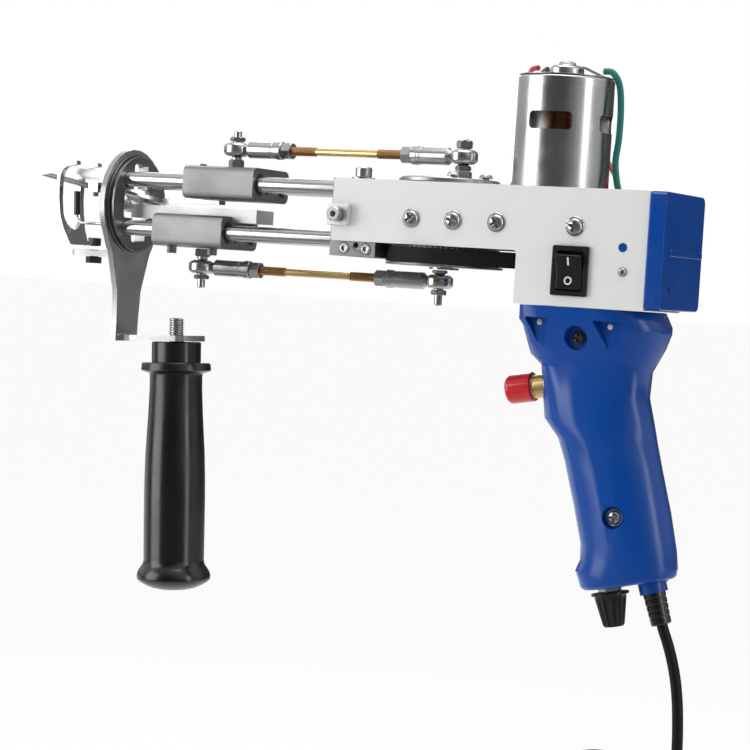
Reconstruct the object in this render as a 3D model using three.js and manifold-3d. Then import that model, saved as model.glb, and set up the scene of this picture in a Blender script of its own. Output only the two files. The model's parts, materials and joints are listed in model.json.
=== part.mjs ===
// Handheld tufting machine in mm, hung by its pistol grip: +X to the rear, -Y to the camera, +Z up.
// The working frame has its origin on the motor's axis, at the height of the lower connecting rod.
import * as THREE from "three";
import { mergeVertices } from "three/addons/utils/BufferGeometryUtils.js";
import Module from "manifold-3d";

const wasm = await Module();
wasm.setup();

// Clearances and the fineness of round pieces
const gap = 0.3;
const overrun = 1;
const weldTolerance = 0.0002;
const straightShare = 0.0001;
const fineSides = 26;
const roundSides = 16;
const smallSides = 12;
const tinySides = 8;
const cornerSteps = 2;

// Where the hand grip's centre lies, which is the origin of the finished part
const gripCentre = { x: 37, depth: 80 };

// Drive: a 3 mm pitch belt turns the crank from the motor
const crankTeeth = 60;
const motorTeeth = 16;
const beltTeeth = 80;
const toothPitch = 3;
const toothDepth = 0.9;
const grooveDepth = 1.3;
const landDrop = 0.38;
const beltBack = 0.8;
const toothShare = 0.22;
const grooveShare = 0.4;
const beltBottom = 8.9;
const beltWidth = 7.5;
const crankRadius = 12.5;
const needlePinTurn = (-34 * Math.PI) / 180;
const scissorPinTurn = (124 * Math.PI) / 180;
const pulley = { flange: 1.1, hub: 7 };
const shaft = { radius: 4, washer: 7.4, washerThick: 1 };
const bearing = { radius: 11, height: 7 };
const disc = { radius: 25.5, thick: 2.4, edge: 0.6, screwTurn: (25.5 * Math.PI) / 180, screwOut: 21.5 };
const discScrew = { head: 3.4, crown: 2.45, headThick: 1.9, neck: 1.7, neckThick: 0.8 };
const pinBase = { flats: 8, thick: 3.6 };

// Connecting rods
const linkLength = 134;
const linkRise = 62.4;
const rodEnd = { head: 7, rim: 1.6, face: 5, half: 3.5, socket: 4.5, shank: 4.35, shankEnd: 25,
  collar: 4.7, collarEnd: 28.7 };
const rodEndNeck = { start: 5.3, radius: 2.9, full: 8.6 };
const jamNut = { flats: 8, thick: 5.4 };
const stud = { radius: 1.95, depth: 9.7 };
const ball = { radius: 4.2, rim: 1.4, half: 3.55, neck: 3.2, neckHalf: 3.85 };
const pin = { radius: 2, flats: 7, sunk: 6 };
const needleFrontPin = { hexTop: 5.4, nut: 6.4, end: 9.7 };
const needleRearPin = { seat: 7, hexTop: 4.4, nut: 8.1, end: 9 };
const scissorFrontPin = { hexTop: 5.4, nut: 6.4, end: 11 };
const scissorRearPin = { seat: 5.9, hexTop: 4.2, nut: 6.8, end: 12.1 };

// Sliders and their guide rods
const rod = { radius: 4, spread: 12, front: -38.4, rear: -92 };
const upperLine = 44;
const lowerLine = 18.4;
const slider = { length: 42, width: 38, height: 17, round: 3.4, offset: 0.4 };
const sliderBore = { mouth: 5.8, mouthDepth: 2 };
const sliderHole = { radius: 1.5, depth: 9, spread: 3.6, up: 3.6 };
const sliderBolt = { head: 2.6, thick: 3.6, spread: 12.3 };

// Housing
const housing = { front: -110.3, rear: 57.5, step: -9.1, top: 48.8, shelf: 17.5, floor: -8, inner: 24.9,
  skin: 1.6 };
const housingHole = { x: 45.4, z: 21.5, radius: 2.25 };
const cornerRound = 1.2;
const frontBlock = { front: -111.6, rear: -86, bottom: 10, relief: 1, reliefTop: 18.1 };
const deck = { thick: 2, opening: 12, horn: 14 };
const crankBlock = { front: -80, rear: -40, bottom: 20, bore: 9 };
const motorBlock = { front: -26, rear: 37, bottom: 26, top: 31.7, riser: 3 };
const leadNotch = { rear: 36, half: 10.5 };
const cap = { rear: 66, half: 27.75, bottom: -7, wall: 2.5, round: 3 };
const clamp = { front: -111.2, rear: -99.4, bottom: 25, top: 35.9, thick: 3.7, round: 1 };
const switchFrame = { front: 10.5, rear: 29, bottom: -2.9, top: 21, proud: 1.5, lip: 1, depth: 14,
  round: 0.8 };
const rocker = { half: 6.45, face: 5.9, hollow: 4.4, tip: 8.1, side: 8.6, shoulder: 3, back: 1.5,
  inset: 2.3 };
const rockerOpening = { half: 6.75, height: 9.45, depth: 7 };
const rockerRest = (7 * Math.PI) / 180;

// Motor
const motor = { radius: 24, wall: 1.2, bottom: 32, top: 102.7, floor: 3, bossRadius: 8.5, bossBottom: 27.4 };
const magnet = { inner: 19.7, bottom: 36, top: 74 };
const canWindow = { width: 21.5, bottom: 76.5, top: 85.1, turn: (-84 * Math.PI) / 180 };
const endCap = { thick: 3, boss: 8.6, bossTop: 108.9, bumpRadius: 4.5, bumpTop: 110.8, edge: 1.6, bore: 106 };
const terminal = { width: 6, thick: 0.9 };
const frontTerminal = { outer: 13.4, outerZ: 104.7, inner: 9.2, innerZ: 107.9 };
const rearTerminal = { outer: 19.2, outerZ: 103.9, inner: 9.2, innerZ: 108.2 };
const armature = { shaft: 2.5, bottom: 7, top: 105.6, core: 18.5, coreBottom: 45, coreTop: 72, coil: 15,
  coilBottom: 39 };
const commutator = { radius: 8, bottom: 82, top: 93 };
const motorPulley = { flange: 9.5, bottom: 6.5, top: 17.9, flangeThick: 1.1 };
const leadRadius = 1.65;
const wireSides = 6;
const greenLeadSteps = 18;
const redLeadSteps = 24;
const leadSpan = { across: 24, up: 70.7 };

// Nose disc, handle bracket and side handle, measured along X from the connecting rods' foremost point
const nose = { lip: 26.5, groove: 24.4, rearRim: 25.5, front: -38.4, rear: -35, lipThick: 1,
  grooveThick: 1.2, centre: 31.2 };
const noseWindow = { half: 6.6, bottom: 11, top: 52.6, arm: 15, armBottom: 23.6, armTop: 38.8, round: 1.5 };
const ringWindow = { half: 7.4, bottom: 11, top: 52.6, arm: 15, armBottom: 22.9, armTop: 39.6, round: 1.8 };
const bracket = { front: -41.7, thick: 3, ring: 29, bottom: -42, footRear: 5.7, footHalf: 12.5,
  footRound: 7 };
const bracketTilt = (3.1 * Math.PI) / 180;
const armHeights = { root: 19.5, shoulder: 8, waist: 5, knee: -15, ankle: -31 };
const armHalves = { root: 26.4, shoulder: 20.5, waist: 18.4, knee: 11.7, ankle: 10.6 };
const shelf = { front: -73.3, half: 8, bottom: 2.2, thick: 3, round: 5 };
const handle = { x: -7.1, length: 131.5, radius: 19.6, bore: 22 };
const handleStud = { radius: 4, top: -30, edge: 0.8, depth: 20 };
const handleShares = [
  [0, 0.665], [0.082, 0.665], [0.086, 0.92], [0.118, 0.934], [0.127, 0.72], [0.19, 0.709], [0.45, 0.801],
  [0.63, 0.826], [0.88, 0.818], [0.905, 0.872], [0.925, 0.964], [0.945, 1], [0.962, 0.975], [0.98, 0.8],
  [1, 0.4],
];

// Presser foot, its bolt and the guard wire
const foot = { thick: 2, reach: 33.7, rise: 45.2, heel: -46.3, base: 6.5, topHalf: 12.2, baseHalf: 8.5,
  slotHalf: 8.2, slotCentre: 24.2 };
const footShares = [
  [0, 0], [0.72, 0], [0.77, 0.01], [0.8, 0.04], [0.908, 0.21], [0.967, 0.387], [0.997, 0.564],
  [1, 0.741], [0.985, 0.85], [0.94, 0.925], [0.845, 0.976], [0.665, 1],
];
const footFlare = { low: 5, mid: 22, midHalf: 11.4, high: 54 };
const footBolt = { x: -62.4, head: 3.5, headTop: 12, shank: 2.3, nutFlats: 7.5, nutTop: 1.9,
  nutBottom: -1.6 };
const guard = { radius: 0.8, sleeve: 2, sleeveLength: 12.4, y: 5.4, x: -78.3, z: 20, rootY: 10, sunk: 2,
  bend: 4, lean: 0.7 };
const guardSteps = 17;

// Needle and its arm, measured along X from the needle slider's ball pin
const needle = { radius: 1.5, bore: 0.8, tipX: -122.2, tipZ: 45.7, slope: -0.19, bendX: -46.3,
  endX: -41.3, endZ: 27, tipLength: 7 };
const needleShares = [0, 0.5, 0.97];
const needleBendSteps = 4;
const arm = { near: 2, far: 3.45, padFront: -21.3, padRear: -7.3, padHalf: 3.2, top: 35.2, bottom: 33.1,
  kneeX: -47.3, low: 31.6 };
const armFront = { x: -84.3, top: 41, bottom: 36.8 };
const needleClamp = { front: -89.3, rear: -83.3, half: 3.4, bottom: 36.6, top: 41.8, screw: 1.6,
  screwBottom: 34.4 };

// Scissor bar and blades, measured along X from the scissor slider's ball pin
const bar = { front: -40.2, rear: 36.2, half: 9, wall: 2, bottom: 24, top: 31 };
const pivot = { x: -46.2, z: 30.3, cheek: 3.7, boss: 3.2, pin: 1.5, collar: 2.7, head: 2.7, headOut: 12,
  stub: 3.7, farEnd: 9.8 };
const blade = { near: 3.9, far: 5.7, elbowX: -61.2, elbowZ: 44.2, web: -64.7, webRear: -59.2, inner: 0.2,
  outer: 2 };
const beak = { length: 31.5, height: 4.4, bottom: 43.4 };
const beakShares = [[0, 0], [0.16, 0], [0.48, 0.045], [0.74, 0.41], [1, 0.95], [1, 0.98], [0.97, 1], [0, 1]];
const bladeOpen = (2.2 * Math.PI) / 180;

// Pistol grip: shares of lip length and half width at shares of the depth, with how boxy the front and
// rear are
const grip = { top: -8.3, depth: 138, front: -8, length: 65.2, half: 26.5 };
const gripShares = [
  [0, 0, 1, 1, 9, 2.6], [0.05, 0, 1.06, 0.99, 9, 2.5], [0.072, 0.01, 1.066, 0.95, 6, 2.4],
  [0.125, 0.012, 1.032, 0.85, 4, 2.4],
  [0.171, 0.02, 0.986, 0.755, 2.8, 2.4], [0.209, 0.103, 0.946, 0.702, 2.4, 2.3],
  [0.3, 0.121, 0.94, 0.679, 2.2, 2.2],
  [0.396, 0.147, 0.997, 0.679, 2.1, 2.1], [0.462, 0.265, 1.032, 0.679, 2, 2],
  [0.541, 0.331, 1.077, 0.679, 2, 2],
  [0.693, 0.426, 1.169, 0.679, 2, 2], [0.824, 0.5, 1.233, 0.679, 2, 2], [0.882, 0.505, 1.25, 0.679, 2, 2],
  [0.922, 0.472, 1.239, 0.679, 2, 2], [1, 0.54, 1.17, 0.62, 2, 2],
];
const gripSides = 22;
const gripFloor = { x: 28.1, z: -144.9 };
const gripFloorTilt = (11.96 * Math.PI) / 180;
const pocket = { floor: 20.6, top: 13.9, apex: 32.8 };
const frontPocket = { left: -2.8, right: 9.3, apex: 5.6 };
const rearPocket = { left: 32.3, right: 46.5, apex: 42.2 };
const gripHole = { x: 23.4, z: -22.6, radius: 6, floor: 19 };
const gripScrew = { x: 45.8, z: -106.9, radius: 5.5, floor: 14 };
const trigger = { x: -2.6, z: -47.8, cap: 7.3, capEnd: 17.4, capStart: 3.3, bore: 6.4, boreEnd: 9.5,
  stem: 3.4, stemBack: 4, round: 1.6 };
const triggerTilt = (10.3 * Math.PI) / 180;
const collar = { radius: 6, bore: 3.7, end: 5, back: 8 };
const knobSpot = { x: 40.1, z: -142.3 };
const knobTilt = (11.4 * Math.PI) / 180;
const pot = { body: 6, depth: 11, nutFlats: 10, nutBottom: 1.9, shaft: 3, shaftEnd: 11 };
const knob = { flange: 9.25, length: 19.2, start: 2.2, bore: 9.2 };
const knobShares = [[0, 1], [0.09, 1], [0.1, 0.88], [0.16, 0.85], [0.9, 0.6], [1, 0.52]];
const knobFlutes = 9;
const fluteShare = 0.9;
const relief = { x: 63.1, z: -142.5, boss: 6.9, bossRoot: 12, root: 5.5, sunk: 5, length: 15.5, end: 4,
  bore: 3 };
const reliefTilt = (18 * Math.PI) / 180;

// Cord: its shown stretch, and the coil of what the photograph doesn't show
const cordRadius = 2.7;
const cordPoints = [
  [64.6, 0, -147], [68.6, 0, -158.6], [72.4, 0, -168], [75.8, 0, -179], [78.1, 0, -191], [79.3, 0, -203.2],
  [79.9, 0, -215], [80, 0, -228], [80, 0, -242],
];
const cordSides = 6;
const cordSteps = 20;
const coil = { x: 40, z: -264, radius: 40, pitch: 6.1, layer: 6.1, dip: 1, lead: 3, tail: 27 };
const coilSpiral = 3.25;
const coilClimb = 0.5;
const coilSteps = 24;
const coilSides = 6;
const plug = { radius: 5.4, length: 22, neck: 3.7, neckLength: 6, barrel: 2.75, barrelLength: 9.5,
  bore: 1.3, edge: 0.8 };

// Materials
const whitePaint = { color: 0xf1f1ee, roughness: 0.45, metalness: 0 };
const aluminium = { color: 0xb9bbbd, roughness: 0.42, metalness: 0.85 };
const steel = { color: 0xc9cccf, roughness: 0.24, metalness: 1 };
const darkSteel = { color: 0x3a3c3f, roughness: 0.38, metalness: 0.9 };
const blackPlastic = { color: 0x161617, roughness: 0.5, metalness: 0 };
const blackRubber = { color: 0x1b1b1c, roughness: 0.75, metalness: 0 };
const brass = { color: 0xc79a45, roughness: 0.3, metalness: 1 };
const bluePlastic = { color: 0x1557b8, roughness: 0.45, metalness: 0 };
const redPlastic = { color: 0xc21a1c, roughness: 0.4, metalness: 0 };
const greenPlastic = { color: 0x2a8a3c, roughness: 0.5, metalness: 0 };
const copper = { color: 0xa8642e, roughness: 0.4, metalness: 0.8 };

// A geometry as a closed solid for joining and cutting, and back again
function asSolid(geometry) {
  const loose = geometry.index ? geometry.toNonIndexed() : geometry;
  const bare = new THREE.BufferGeometry().setAttribute("position", loose.getAttribute("position"));
  const merged = mergeVertices(bare, weldTolerance);
  const data = { numProp: 3, vertProperties: merged.attributes.position.array,
    triVerts: new Uint32Array(merged.index.array) };
  return new wasm.Manifold(new wasm.Mesh(data));
}
function asGeometry(solid) {
  const mesh = solid.getMesh();
  const geometry = new THREE.BufferGeometry();
  geometry.setAttribute("position", new THREE.BufferAttribute(new Float32Array(mesh.vertProperties), 3));
  geometry.setIndex(new THREE.BufferAttribute(new Uint32Array(mesh.triVerts), 1));
  return geometry;
}
function join(...pieces) {
  return asGeometry(pieces.map(asSolid).reduce((sum, next) => sum.add(next)));
}
function cut(body, ...tools) {
  return asGeometry(tools.map(asSolid).reduce((rest, tool) => rest.subtract(tool), asSolid(body)));
}
function shared(first, second) {
  return asGeometry(asSolid(first).intersect(asSolid(second)));
}

// Plain solids
function box(x0, x1, y0, y1, z0, z1) {
  const geometry = new THREE.BoxGeometry(x1 - x0, y1 - y0, z1 - z0);
  return geometry.translate((x0 + x1) / 2, (y0 + y1) / 2, (z0 + z1) / 2);
}
function signedArea(points) {
  return points.reduce((sum, [x, y], i) => {
    const [nextX, nextY] = points[(i + 1) % points.length];
    return sum + x * nextY - nextX * y;
  }, 0);
}
// A profile of [radius, height] points turned about the Z axis. A profile that starts off the axis is a
// closed ring.
function turned(profile, sides = roundSides) {
  const closed = profile[0][0] > 0 ? [...profile, profile[0]] : profile;
  const rising = signedArea(profile) > 0 ? closed : [...closed].reverse();
  const points = rising.map(([radius, height]) => new THREE.Vector2(radius, height));
  return new THREE.LatheGeometry(points, sides).rotateX(Math.PI / 2);
}
function cylinder(radius, z0, z1, sides = roundSides) {
  return turned([[0, z0], [radius, z0], [radius, z1], [0, z1]], sides);
}
function ring(inner, outer, z0, z1, sides = roundSides) {
  return turned([[inner, z0], [outer, z0], [outer, z1], [inner, z1]], sides);
}
function hexagon(flats, z0, z1) {
  return cylinder(flats / Math.sqrt(3), z0, z1, 6);
}

// Outlines and what is drawn from them along each axis
function circlePoints(x, y, radius, sides = roundSides) {
  return Array.from({ length: sides }, (_, i) => {
    const turn = (2 * Math.PI * i) / sides;
    return [x + radius * Math.cos(turn), y + radius * Math.sin(turn)];
  });
}
function toward(from, to) {
  return new THREE.Vector2(to[0] - from[0], to[1] - from[1]).normalize();
}
function softened(points, radius, steps = cornerSteps) {
  return points.flatMap((corner, i) => {
    const back = toward(corner, points[(i + points.length - 1) % points.length]);
    const ahead = toward(corner, points[(i + 1) % points.length]);
    const half = Math.acos(back.dot(ahead)) / 2;
    const reach = radius / Math.tan(half);
    const inward = back.clone().add(ahead).setLength(radius / Math.sin(half));
    const from = back.clone().multiplyScalar(reach).sub(inward);
    const to = ahead.clone().multiplyScalar(reach).sub(inward);
    const sweep = Math.atan2(from.x * to.y - from.y * to.x, from.dot(to));
    return Array.from({ length: steps + 1 }, (_, k) => {
      const spoke = from.clone().rotateAround(new THREE.Vector2(), (sweep * k) / steps);
      return [corner[0] + inward.x + spoke.x, corner[1] + inward.y + spoke.y];
    });
  });
}
function rectangle(x0, x1, y0, y1) {
  return [[x0, y0], [x1, y0], [x1, y1], [x0, y1]];
}
function mirrored(points) {
  return [...points, ...points.map(([x, y]) => [-x, y]).reverse()];
}
// The points of an outline without those that lie on a straight run
function bends(outline) {
  const points = outline.map(([x, y]) => new THREE.Vector2(x, y));
  return points.filter((point, i) => {
    const back = point.clone().sub(points[(i + points.length - 1) % points.length]);
    const ahead = points[(i + 1) % points.length].clone().sub(point);
    return Math.abs(back.cross(ahead)) > straightShare * back.length() * ahead.length();
  });
}
function alongZ(outline, z0, z1, holes = []) {
  const shape = new THREE.Shape(bends(outline));
  shape.holes = holes.map((hole) => new THREE.Path(bends(hole)));
  return new THREE.ExtrudeGeometry(shape, { depth: z1 - z0, bevelEnabled: false }).translate(0, 0, z0);
}
// An outline of [X, Z] points drawn along Y
function alongY(outline, y0, y1, holes) {
  return alongZ(outline, -y1, -y0, holes).rotateX(Math.PI / 2);
}
// An outline of [Y, Z] points drawn along X
function alongX(outline, x0, x1, holes) {
  return alongZ(outline, x0, x1, holes).rotateX(Math.PI / 2).rotateZ(Math.PI / 2);
}
// A solid made about the Z axis laid along X, Y or a tilted axis in the XZ plane
function laidAlongX(geometry) {
  return geometry.rotateY(Math.PI / 2);
}
function laidAlongY(geometry) {
  return geometry.rotateX(-Math.PI / 2);
}

// A round tube through points, whose ends are square to it
function tube(points, radius, sides, across = new THREE.Vector3(0, 1, 0)) {
  const positions = [];
  const spokes = points.map((point, i) => {
    const tangent = points[Math.min(i + 1, points.length - 1)].clone().sub(points[Math.max(i - 1,
      0)]).normalize();
    const side = new THREE.Vector3().crossVectors(across, tangent).normalize();
    const up = new THREE.Vector3().crossVectors(tangent, side);
    return circlePoints(0, 0, radius, sides).map(([a, b]) => point.clone().addScaledVector(side,
      a).addScaledVector(up, b));
  });
  const face = (...corners) => corners.forEach((corner) => positions.push(corner.x, corner.y, corner.z));
  spokes.slice(1).forEach((next, i) => {
    const last = spokes[i];
    for (let k = 0; k < sides; k++) {
      const m = (k + 1) % sides;
      face(last[k], last[m], next[m]);
      face(last[k], next[m], next[k]);
    }
  });
  for (let k = 1; k < sides - 1; k++) {
    face(spokes[0][0], spokes[0][k + 1], spokes[0][k]);
    const last = spokes[spokes.length - 1];
    face(last[0], last[k], last[k + 1]);
  }
  return new THREE.BufferGeometry().setAttribute("position", new THREE.Float32BufferAttribute(positions, 3));
}
function smooth(points, count) {
  return new THREE.CatmullRomCurve3(points.map((point) => new THREE.Vector3(...point)), false,
    "centripetal").getSpacedPoints(count);
}
// A closed solid through level rings of points, capped with fans
function loft(rings) {
  const positions = [];
  const face = (...corners) => corners.forEach((corner) => positions.push(...corner));
  const sides = rings[0].length;
  rings.slice(1).forEach((next, i) => {
    const last = rings[i];
    for (let k = 0; k < sides; k++) {
      const m = (k + 1) % sides;
      face(last[k], next[m], last[m]);
      face(last[k], next[k], next[m]);
    }
  });
  const bottom = rings[rings.length - 1];
  for (let k = 1; k < sides - 1; k++) {
    face(rings[0][0], rings[0][k], rings[0][k + 1]);
    face(bottom[0], bottom[k + 1], bottom[k]);
  }
  return new THREE.BufferGeometry().setAttribute("position", new THREE.Float32BufferAttribute(positions, 3));
}

// Groups: one for each assembly that moves
function group(name, parent, x = 0, y = 0, z = 0) {
  const made = new THREE.Group();
  made.name = name;
  made.position.set(x, y, z);
  parent.add(made);
  return made;
}
function piece(parent, name, geometry, look) {
  const plain = geometry.index ? geometry.toNonIndexed() : geometry;
  plain.computeVertexNormals();
  const mesh = new THREE.Mesh(plain, new THREE.MeshStandardMaterial(look));
  mesh.name = name;
  parent.add(mesh);
}
const part = new THREE.Group();
part.name = "tufting_machine";
const machine = group("machine", part, -gripCentre.x, 0, gripCentre.depth);

// The belt's path, from which the distance between the two shafts follows
const crankPitchRadius = (crankTeeth * toothPitch) / (2 * Math.PI);
const motorPitchRadius = (motorTeeth * toothPitch) / (2 * Math.PI);
const radiusStep = crankPitchRadius - motorPitchRadius;
const halfBelt = (beltTeeth * toothPitch) / 2;
function halfLength(distance) {
  const straight = Math.sqrt(distance ** 2 - radiusStep ** 2);
  const wrap = Math.acos(radiusStep / distance);
  return crankPitchRadius * (Math.PI - wrap) + straight + motorPitchRadius * wrap;
}
let centreDistance = crankPitchRadius + motorPitchRadius;
for (let span = halfBelt; span > weldTolerance; span /= 2) {
  if (halfLength(centreDistance + span) < halfBelt) centreDistance += span;
}
const crankX = -centreDistance;
const foremost = crankX - crankRadius - linkLength;
const wrapTurn = Math.acos(radiusStep / centreDistance);
const straightRun = Math.sqrt(centreDistance ** 2 - radiusStep ** 2);
const crankArc = crankPitchRadius * (Math.PI - wrapTurn);
const beltInner = landDrop - gap;
// The point at a distance along the belt from its front end, moved inwards from the pitch line
function beltPoint(along, inset) {
  const upper = along <= halfBelt;
  const run = upper ? along : 2 * halfBelt - along;
  const mirror = upper ? 1 : -1;
  if (run <= crankArc) {
    const turn = Math.PI - run / crankPitchRadius;
    const radius = crankPitchRadius - inset;
    return [crankX + radius * Math.cos(turn), mirror * radius * Math.sin(turn)];
  }
  if (run >= crankArc + straightRun) {
    const turn = wrapTurn - (run - crankArc - straightRun) / motorPitchRadius;
    const radius = motorPitchRadius - inset;
    return [radius * Math.cos(turn), mirror * radius * Math.sin(turn)];
  }
  const share = (run - crankArc) / straightRun;
  const radius = crankPitchRadius - share * radiusStep - inset;
  return [crankX * (1 - share) + radius * Math.cos(wrapTurn), mirror * radius * Math.sin(wrapTurn)];
}
const beltOutside = Array.from({ length: beltTeeth }, (_, i) => beltPoint(i * toothPitch, -beltBack));
const beltInside = Array.from({ length: beltTeeth }, (_, i) => {
  const corners = [[-toothShare, beltInner], [0, beltInner + toothDepth], [toothShare, beltInner]];
  return corners.map(([share, inset]) => beltPoint(((i + beltTeeth + share) % beltTeeth) * toothPitch,
    inset));
}).flat();
const beltTop = beltBottom + beltWidth;
const beltSolid = cut(alongZ(beltOutside, beltBottom, beltTop),
  alongZ(beltInside, beltBottom - overrun, beltTop + overrun));
piece(machine, "timing_belt", beltSolid, blackRubber);

// The outline of a toothed pulley with a groove at the given turn. Its lands stay clear of the belt's
// teeth at any turn.
function toothedOutline(teeth, pitchRadius, x, firstTurn) {
  const step = (2 * Math.PI) / teeth;
  const outer = pitchRadius - landDrop - toothDepth;
  const inner = outer - grooveDepth;
  return Array.from({ length: teeth }, (_, i) => {
    const turn = firstTurn + i * step;
    const corners = [[-grooveShare, outer], [0, inner], [grooveShare, outer]];
    return corners.map(([share, radius]) => [x + radius * Math.cos(turn + share * step),
      radius * Math.sin(turn + share * step)]);
  }).flat();
}
function moved(geometry, x, y = 0, z = 0) {
  return geometry.translate(x, y, z);
}

// Crank: pulley, shaft with its end washer, and the disc that carries the needle's crank pin
const crank = group("crank", machine, crankX);
const pulleyTop = housing.shelf - gap;
const pulleyBottom = beltBottom - gap - pulley.flange;
const beltReach = crankPitchRadius + beltBack;
const hubTop = crankBlock.bottom;
const crankPulley = cut(
  join(
    alongZ(toothedOutline(crankTeeth, crankPitchRadius, 0, Math.PI), pulleyBottom + pulley.flange / 2,
      pulleyTop),
    cylinder(beltReach, pulleyBottom, pulleyBottom + pulley.flange, fineSides),
    cylinder(pulley.hub, pulleyTop - overrun, hubTop),
  ),
  cylinder(shaft.radius + gap, pulleyBottom - overrun, hubTop + overrun),
);
piece(crank, "crank_pulley", crankPulley, aluminium);
const discBottom = housing.top + gap;
const shaftBottom = pulleyBottom - gap - shaft.washerThick;
const discWall = disc.edge;
const shaftTop = discBottom + disc.thick - discWall - gap;
const crankShaft = join(
  cylinder(shaft.radius, shaftBottom, shaftTop),
  turned([[0, shaftBottom], [shaft.washer - gap, shaftBottom], [shaft.washer, shaftBottom + gap],
    [shaft.washer, pulleyBottom - gap], [0, pulleyBottom - gap]]),
);
piece(crank, "crank_shaft", crankShaft, steel);
const discTop = discBottom + disc.thick;
function discScrewAt(turn) {
  const neckTop = discTop + discScrew.neckThick;
  const headTop = neckTop + discScrew.headThick;
  const screw = turned([
    [0, discTop - discWall], [discScrew.neck, discTop - discWall], [discScrew.neck, neckTop],
    [discScrew.head, neckTop],
    [discScrew.head, neckTop + discScrew.headThick / 2], [discScrew.crown, headTop], [0, headTop],
  ], smallSides);
  return moved(screw, disc.screwOut * Math.cos(turn), disc.screwOut * Math.sin(turn));
}
const pinOut = [crankRadius * Math.cos(needlePinTurn), crankRadius * Math.sin(needlePinTurn)];
const crankDisc = cut(
  join(
    turned([[0, discBottom], [disc.radius, discBottom], [disc.radius, discTop - disc.edge],
      [disc.radius - disc.edge, discTop], [0, discTop]], fineSides),
    moved(hexagon(pinBase.flats, discTop - discWall, discTop + pinBase.thick), ...pinOut),
    discScrewAt(needlePinTurn - disc.screwTurn),
    discScrewAt(needlePinTurn + disc.screwTurn),
  ),
  cylinder(shaft.radius + gap, discBottom - overrun, shaftTop + gap),
);
piece(crank, "crank_disc", crankDisc, steel);

// Housing
const sides = { near: -housing.inner - housing.skin, far: housing.inner };
const panelOutline = [
  [housing.front, housing.shelf], [housing.step, housing.shelf], [housing.step, housing.floor],
  [housing.rear, housing.floor], [housing.rear, housing.top], [housing.front, housing.top],
];
const switchCut = rectangle(
  switchFrame.front + switchFrame.lip - gap, switchFrame.rear - switchFrame.lip + gap,
  switchFrame.bottom + switchFrame.lip - gap, switchFrame.top - switchFrame.lip + gap,
);
const panelHole = circlePoints(housingHole.x, housingHole.z, housingHole.radius, tinySides);
const panelShape = softened(panelOutline, cornerRound);
piece(machine, "left_side_panel", alongY(panelShape, sides.near, sides.near + housing.skin,
  [panelHole, switchCut]), whitePaint);
piece(machine, "right_side_panel", alongY(panelShape, sides.far, sides.far + housing.skin, [panelHole]),
  whitePaint);

const within = housing.inner - gap;
function rodBores(radius, x0, x1, height) {
  return [-rod.spread, rod.spread].map((y) => moved(laidAlongX(cylinder(radius, x0, x1, smallSides)), 0,
    y, height));
}
const frontRodBlock = cut(
  box(frontBlock.front, frontBlock.rear, -within, within, frontBlock.bottom, housing.top),
  ...rodBores(rod.radius + gap, frontBlock.front - overrun, rod.rear + gap, upperLine),
  ...rodBores(rod.radius + gap, frontBlock.front - overrun, rod.rear + gap, lowerLine),
  moved(cylinder(beltReach + frontBlock.relief, frontBlock.bottom - overrun, frontBlock.reliefTop,
    fineSides), crankX),
);
piece(machine, "front_rod_block", frontRodBlock, aluminium);

const deckBottom = housing.top - deck.thick;
const motorClear = cylinder(motor.radius + gap, deckBottom - overrun, housing.top + overrun, fineSides);
const deckPlate = cut(
  box(frontBlock.rear + gap, -deck.horn, -within, within, deckBottom, housing.top),
  motorClear,
  moved(cylinder(deck.opening, deckBottom - overrun, housing.top + overrun), crankX),
);
piece(machine, "deck_plate", deckPlate, whitePaint);

const crankBlockTop = deckBottom - gap;
const upperSeat = crankBlockTop - bearing.height - gap;
const lowerSeat = crankBlock.bottom + bearing.height + 2 * gap;
const crankBearingBlock = cut(
  box(crankBlock.front, crankBlock.rear, -within, within, crankBlock.bottom, crankBlockTop),
  moved(cylinder(bearing.radius + gap, upperSeat, crankBlockTop + overrun), crankX),
  moved(cylinder(bearing.radius + gap, crankBlock.bottom - overrun, lowerSeat), crankX),
  moved(cylinder(crankBlock.bore, lowerSeat - overrun, upperSeat + overrun), crankX),
);
piece(machine, "crank_bearing_block", crankBearingBlock, aluminium);
const bearingRing = (bottom) => moved(ring(shaft.radius + gap, bearing.radius, bottom,
  bottom + bearing.height, smallSides), crankX);
piece(machine, "upper_bearing", bearingRing(upperSeat + gap), steel);
piece(machine, "lower_bearing", bearingRing(crankBlock.bottom + gap), steel);

const motorBlockSolid = cut(
  join(
    box(motorBlock.front, motorBlock.rear + motorBlock.riser, -within, within, motorBlock.bottom,
      motorBlock.top),
    box(motorBlock.rear, motorBlock.rear + motorBlock.riser, -within, within, motorBlock.bottom, housing.top),
    box(deck.horn, housing.rear - gap, -within, within, deckBottom, housing.top),
  ),
  motorClear,
  cylinder(motor.bossRadius + gap, motorBlock.bottom - overrun, motorBlock.top + overrun),
  box(motor.radius - overrun, leadNotch.rear, -leadNotch.half, leadNotch.half, deckBottom - overrun,
    housing.top + overrun),
);
piece(machine, "motor_block", motorBlockSolid, whitePaint);

const capFront = housing.rear + gap;
const capOutline = softened(rectangle(-cap.half, cap.half, cap.bottom, housing.top), cap.round);
const capHollow = softened(
  rectangle(-cap.half + cap.wall, cap.half - cap.wall, cap.bottom + cap.wall, housing.top - cap.wall),
    cap.round - cap.wall / 2,
);
piece(machine, "rear_cap", cut(alongX(capOutline, capFront, cap.rear),
  alongX(capHollow, capFront - overrun, cap.rear - cap.wall)), bluePlastic);

const clampInner = sides.near - gap;
const clampOutline = softened(rectangle(clamp.front, clamp.rear, clamp.bottom, clamp.top), clamp.round);
piece(machine, "clamp_block", alongY(clampOutline, clampInner - clamp.thick, clampInner), aluminium);

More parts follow.
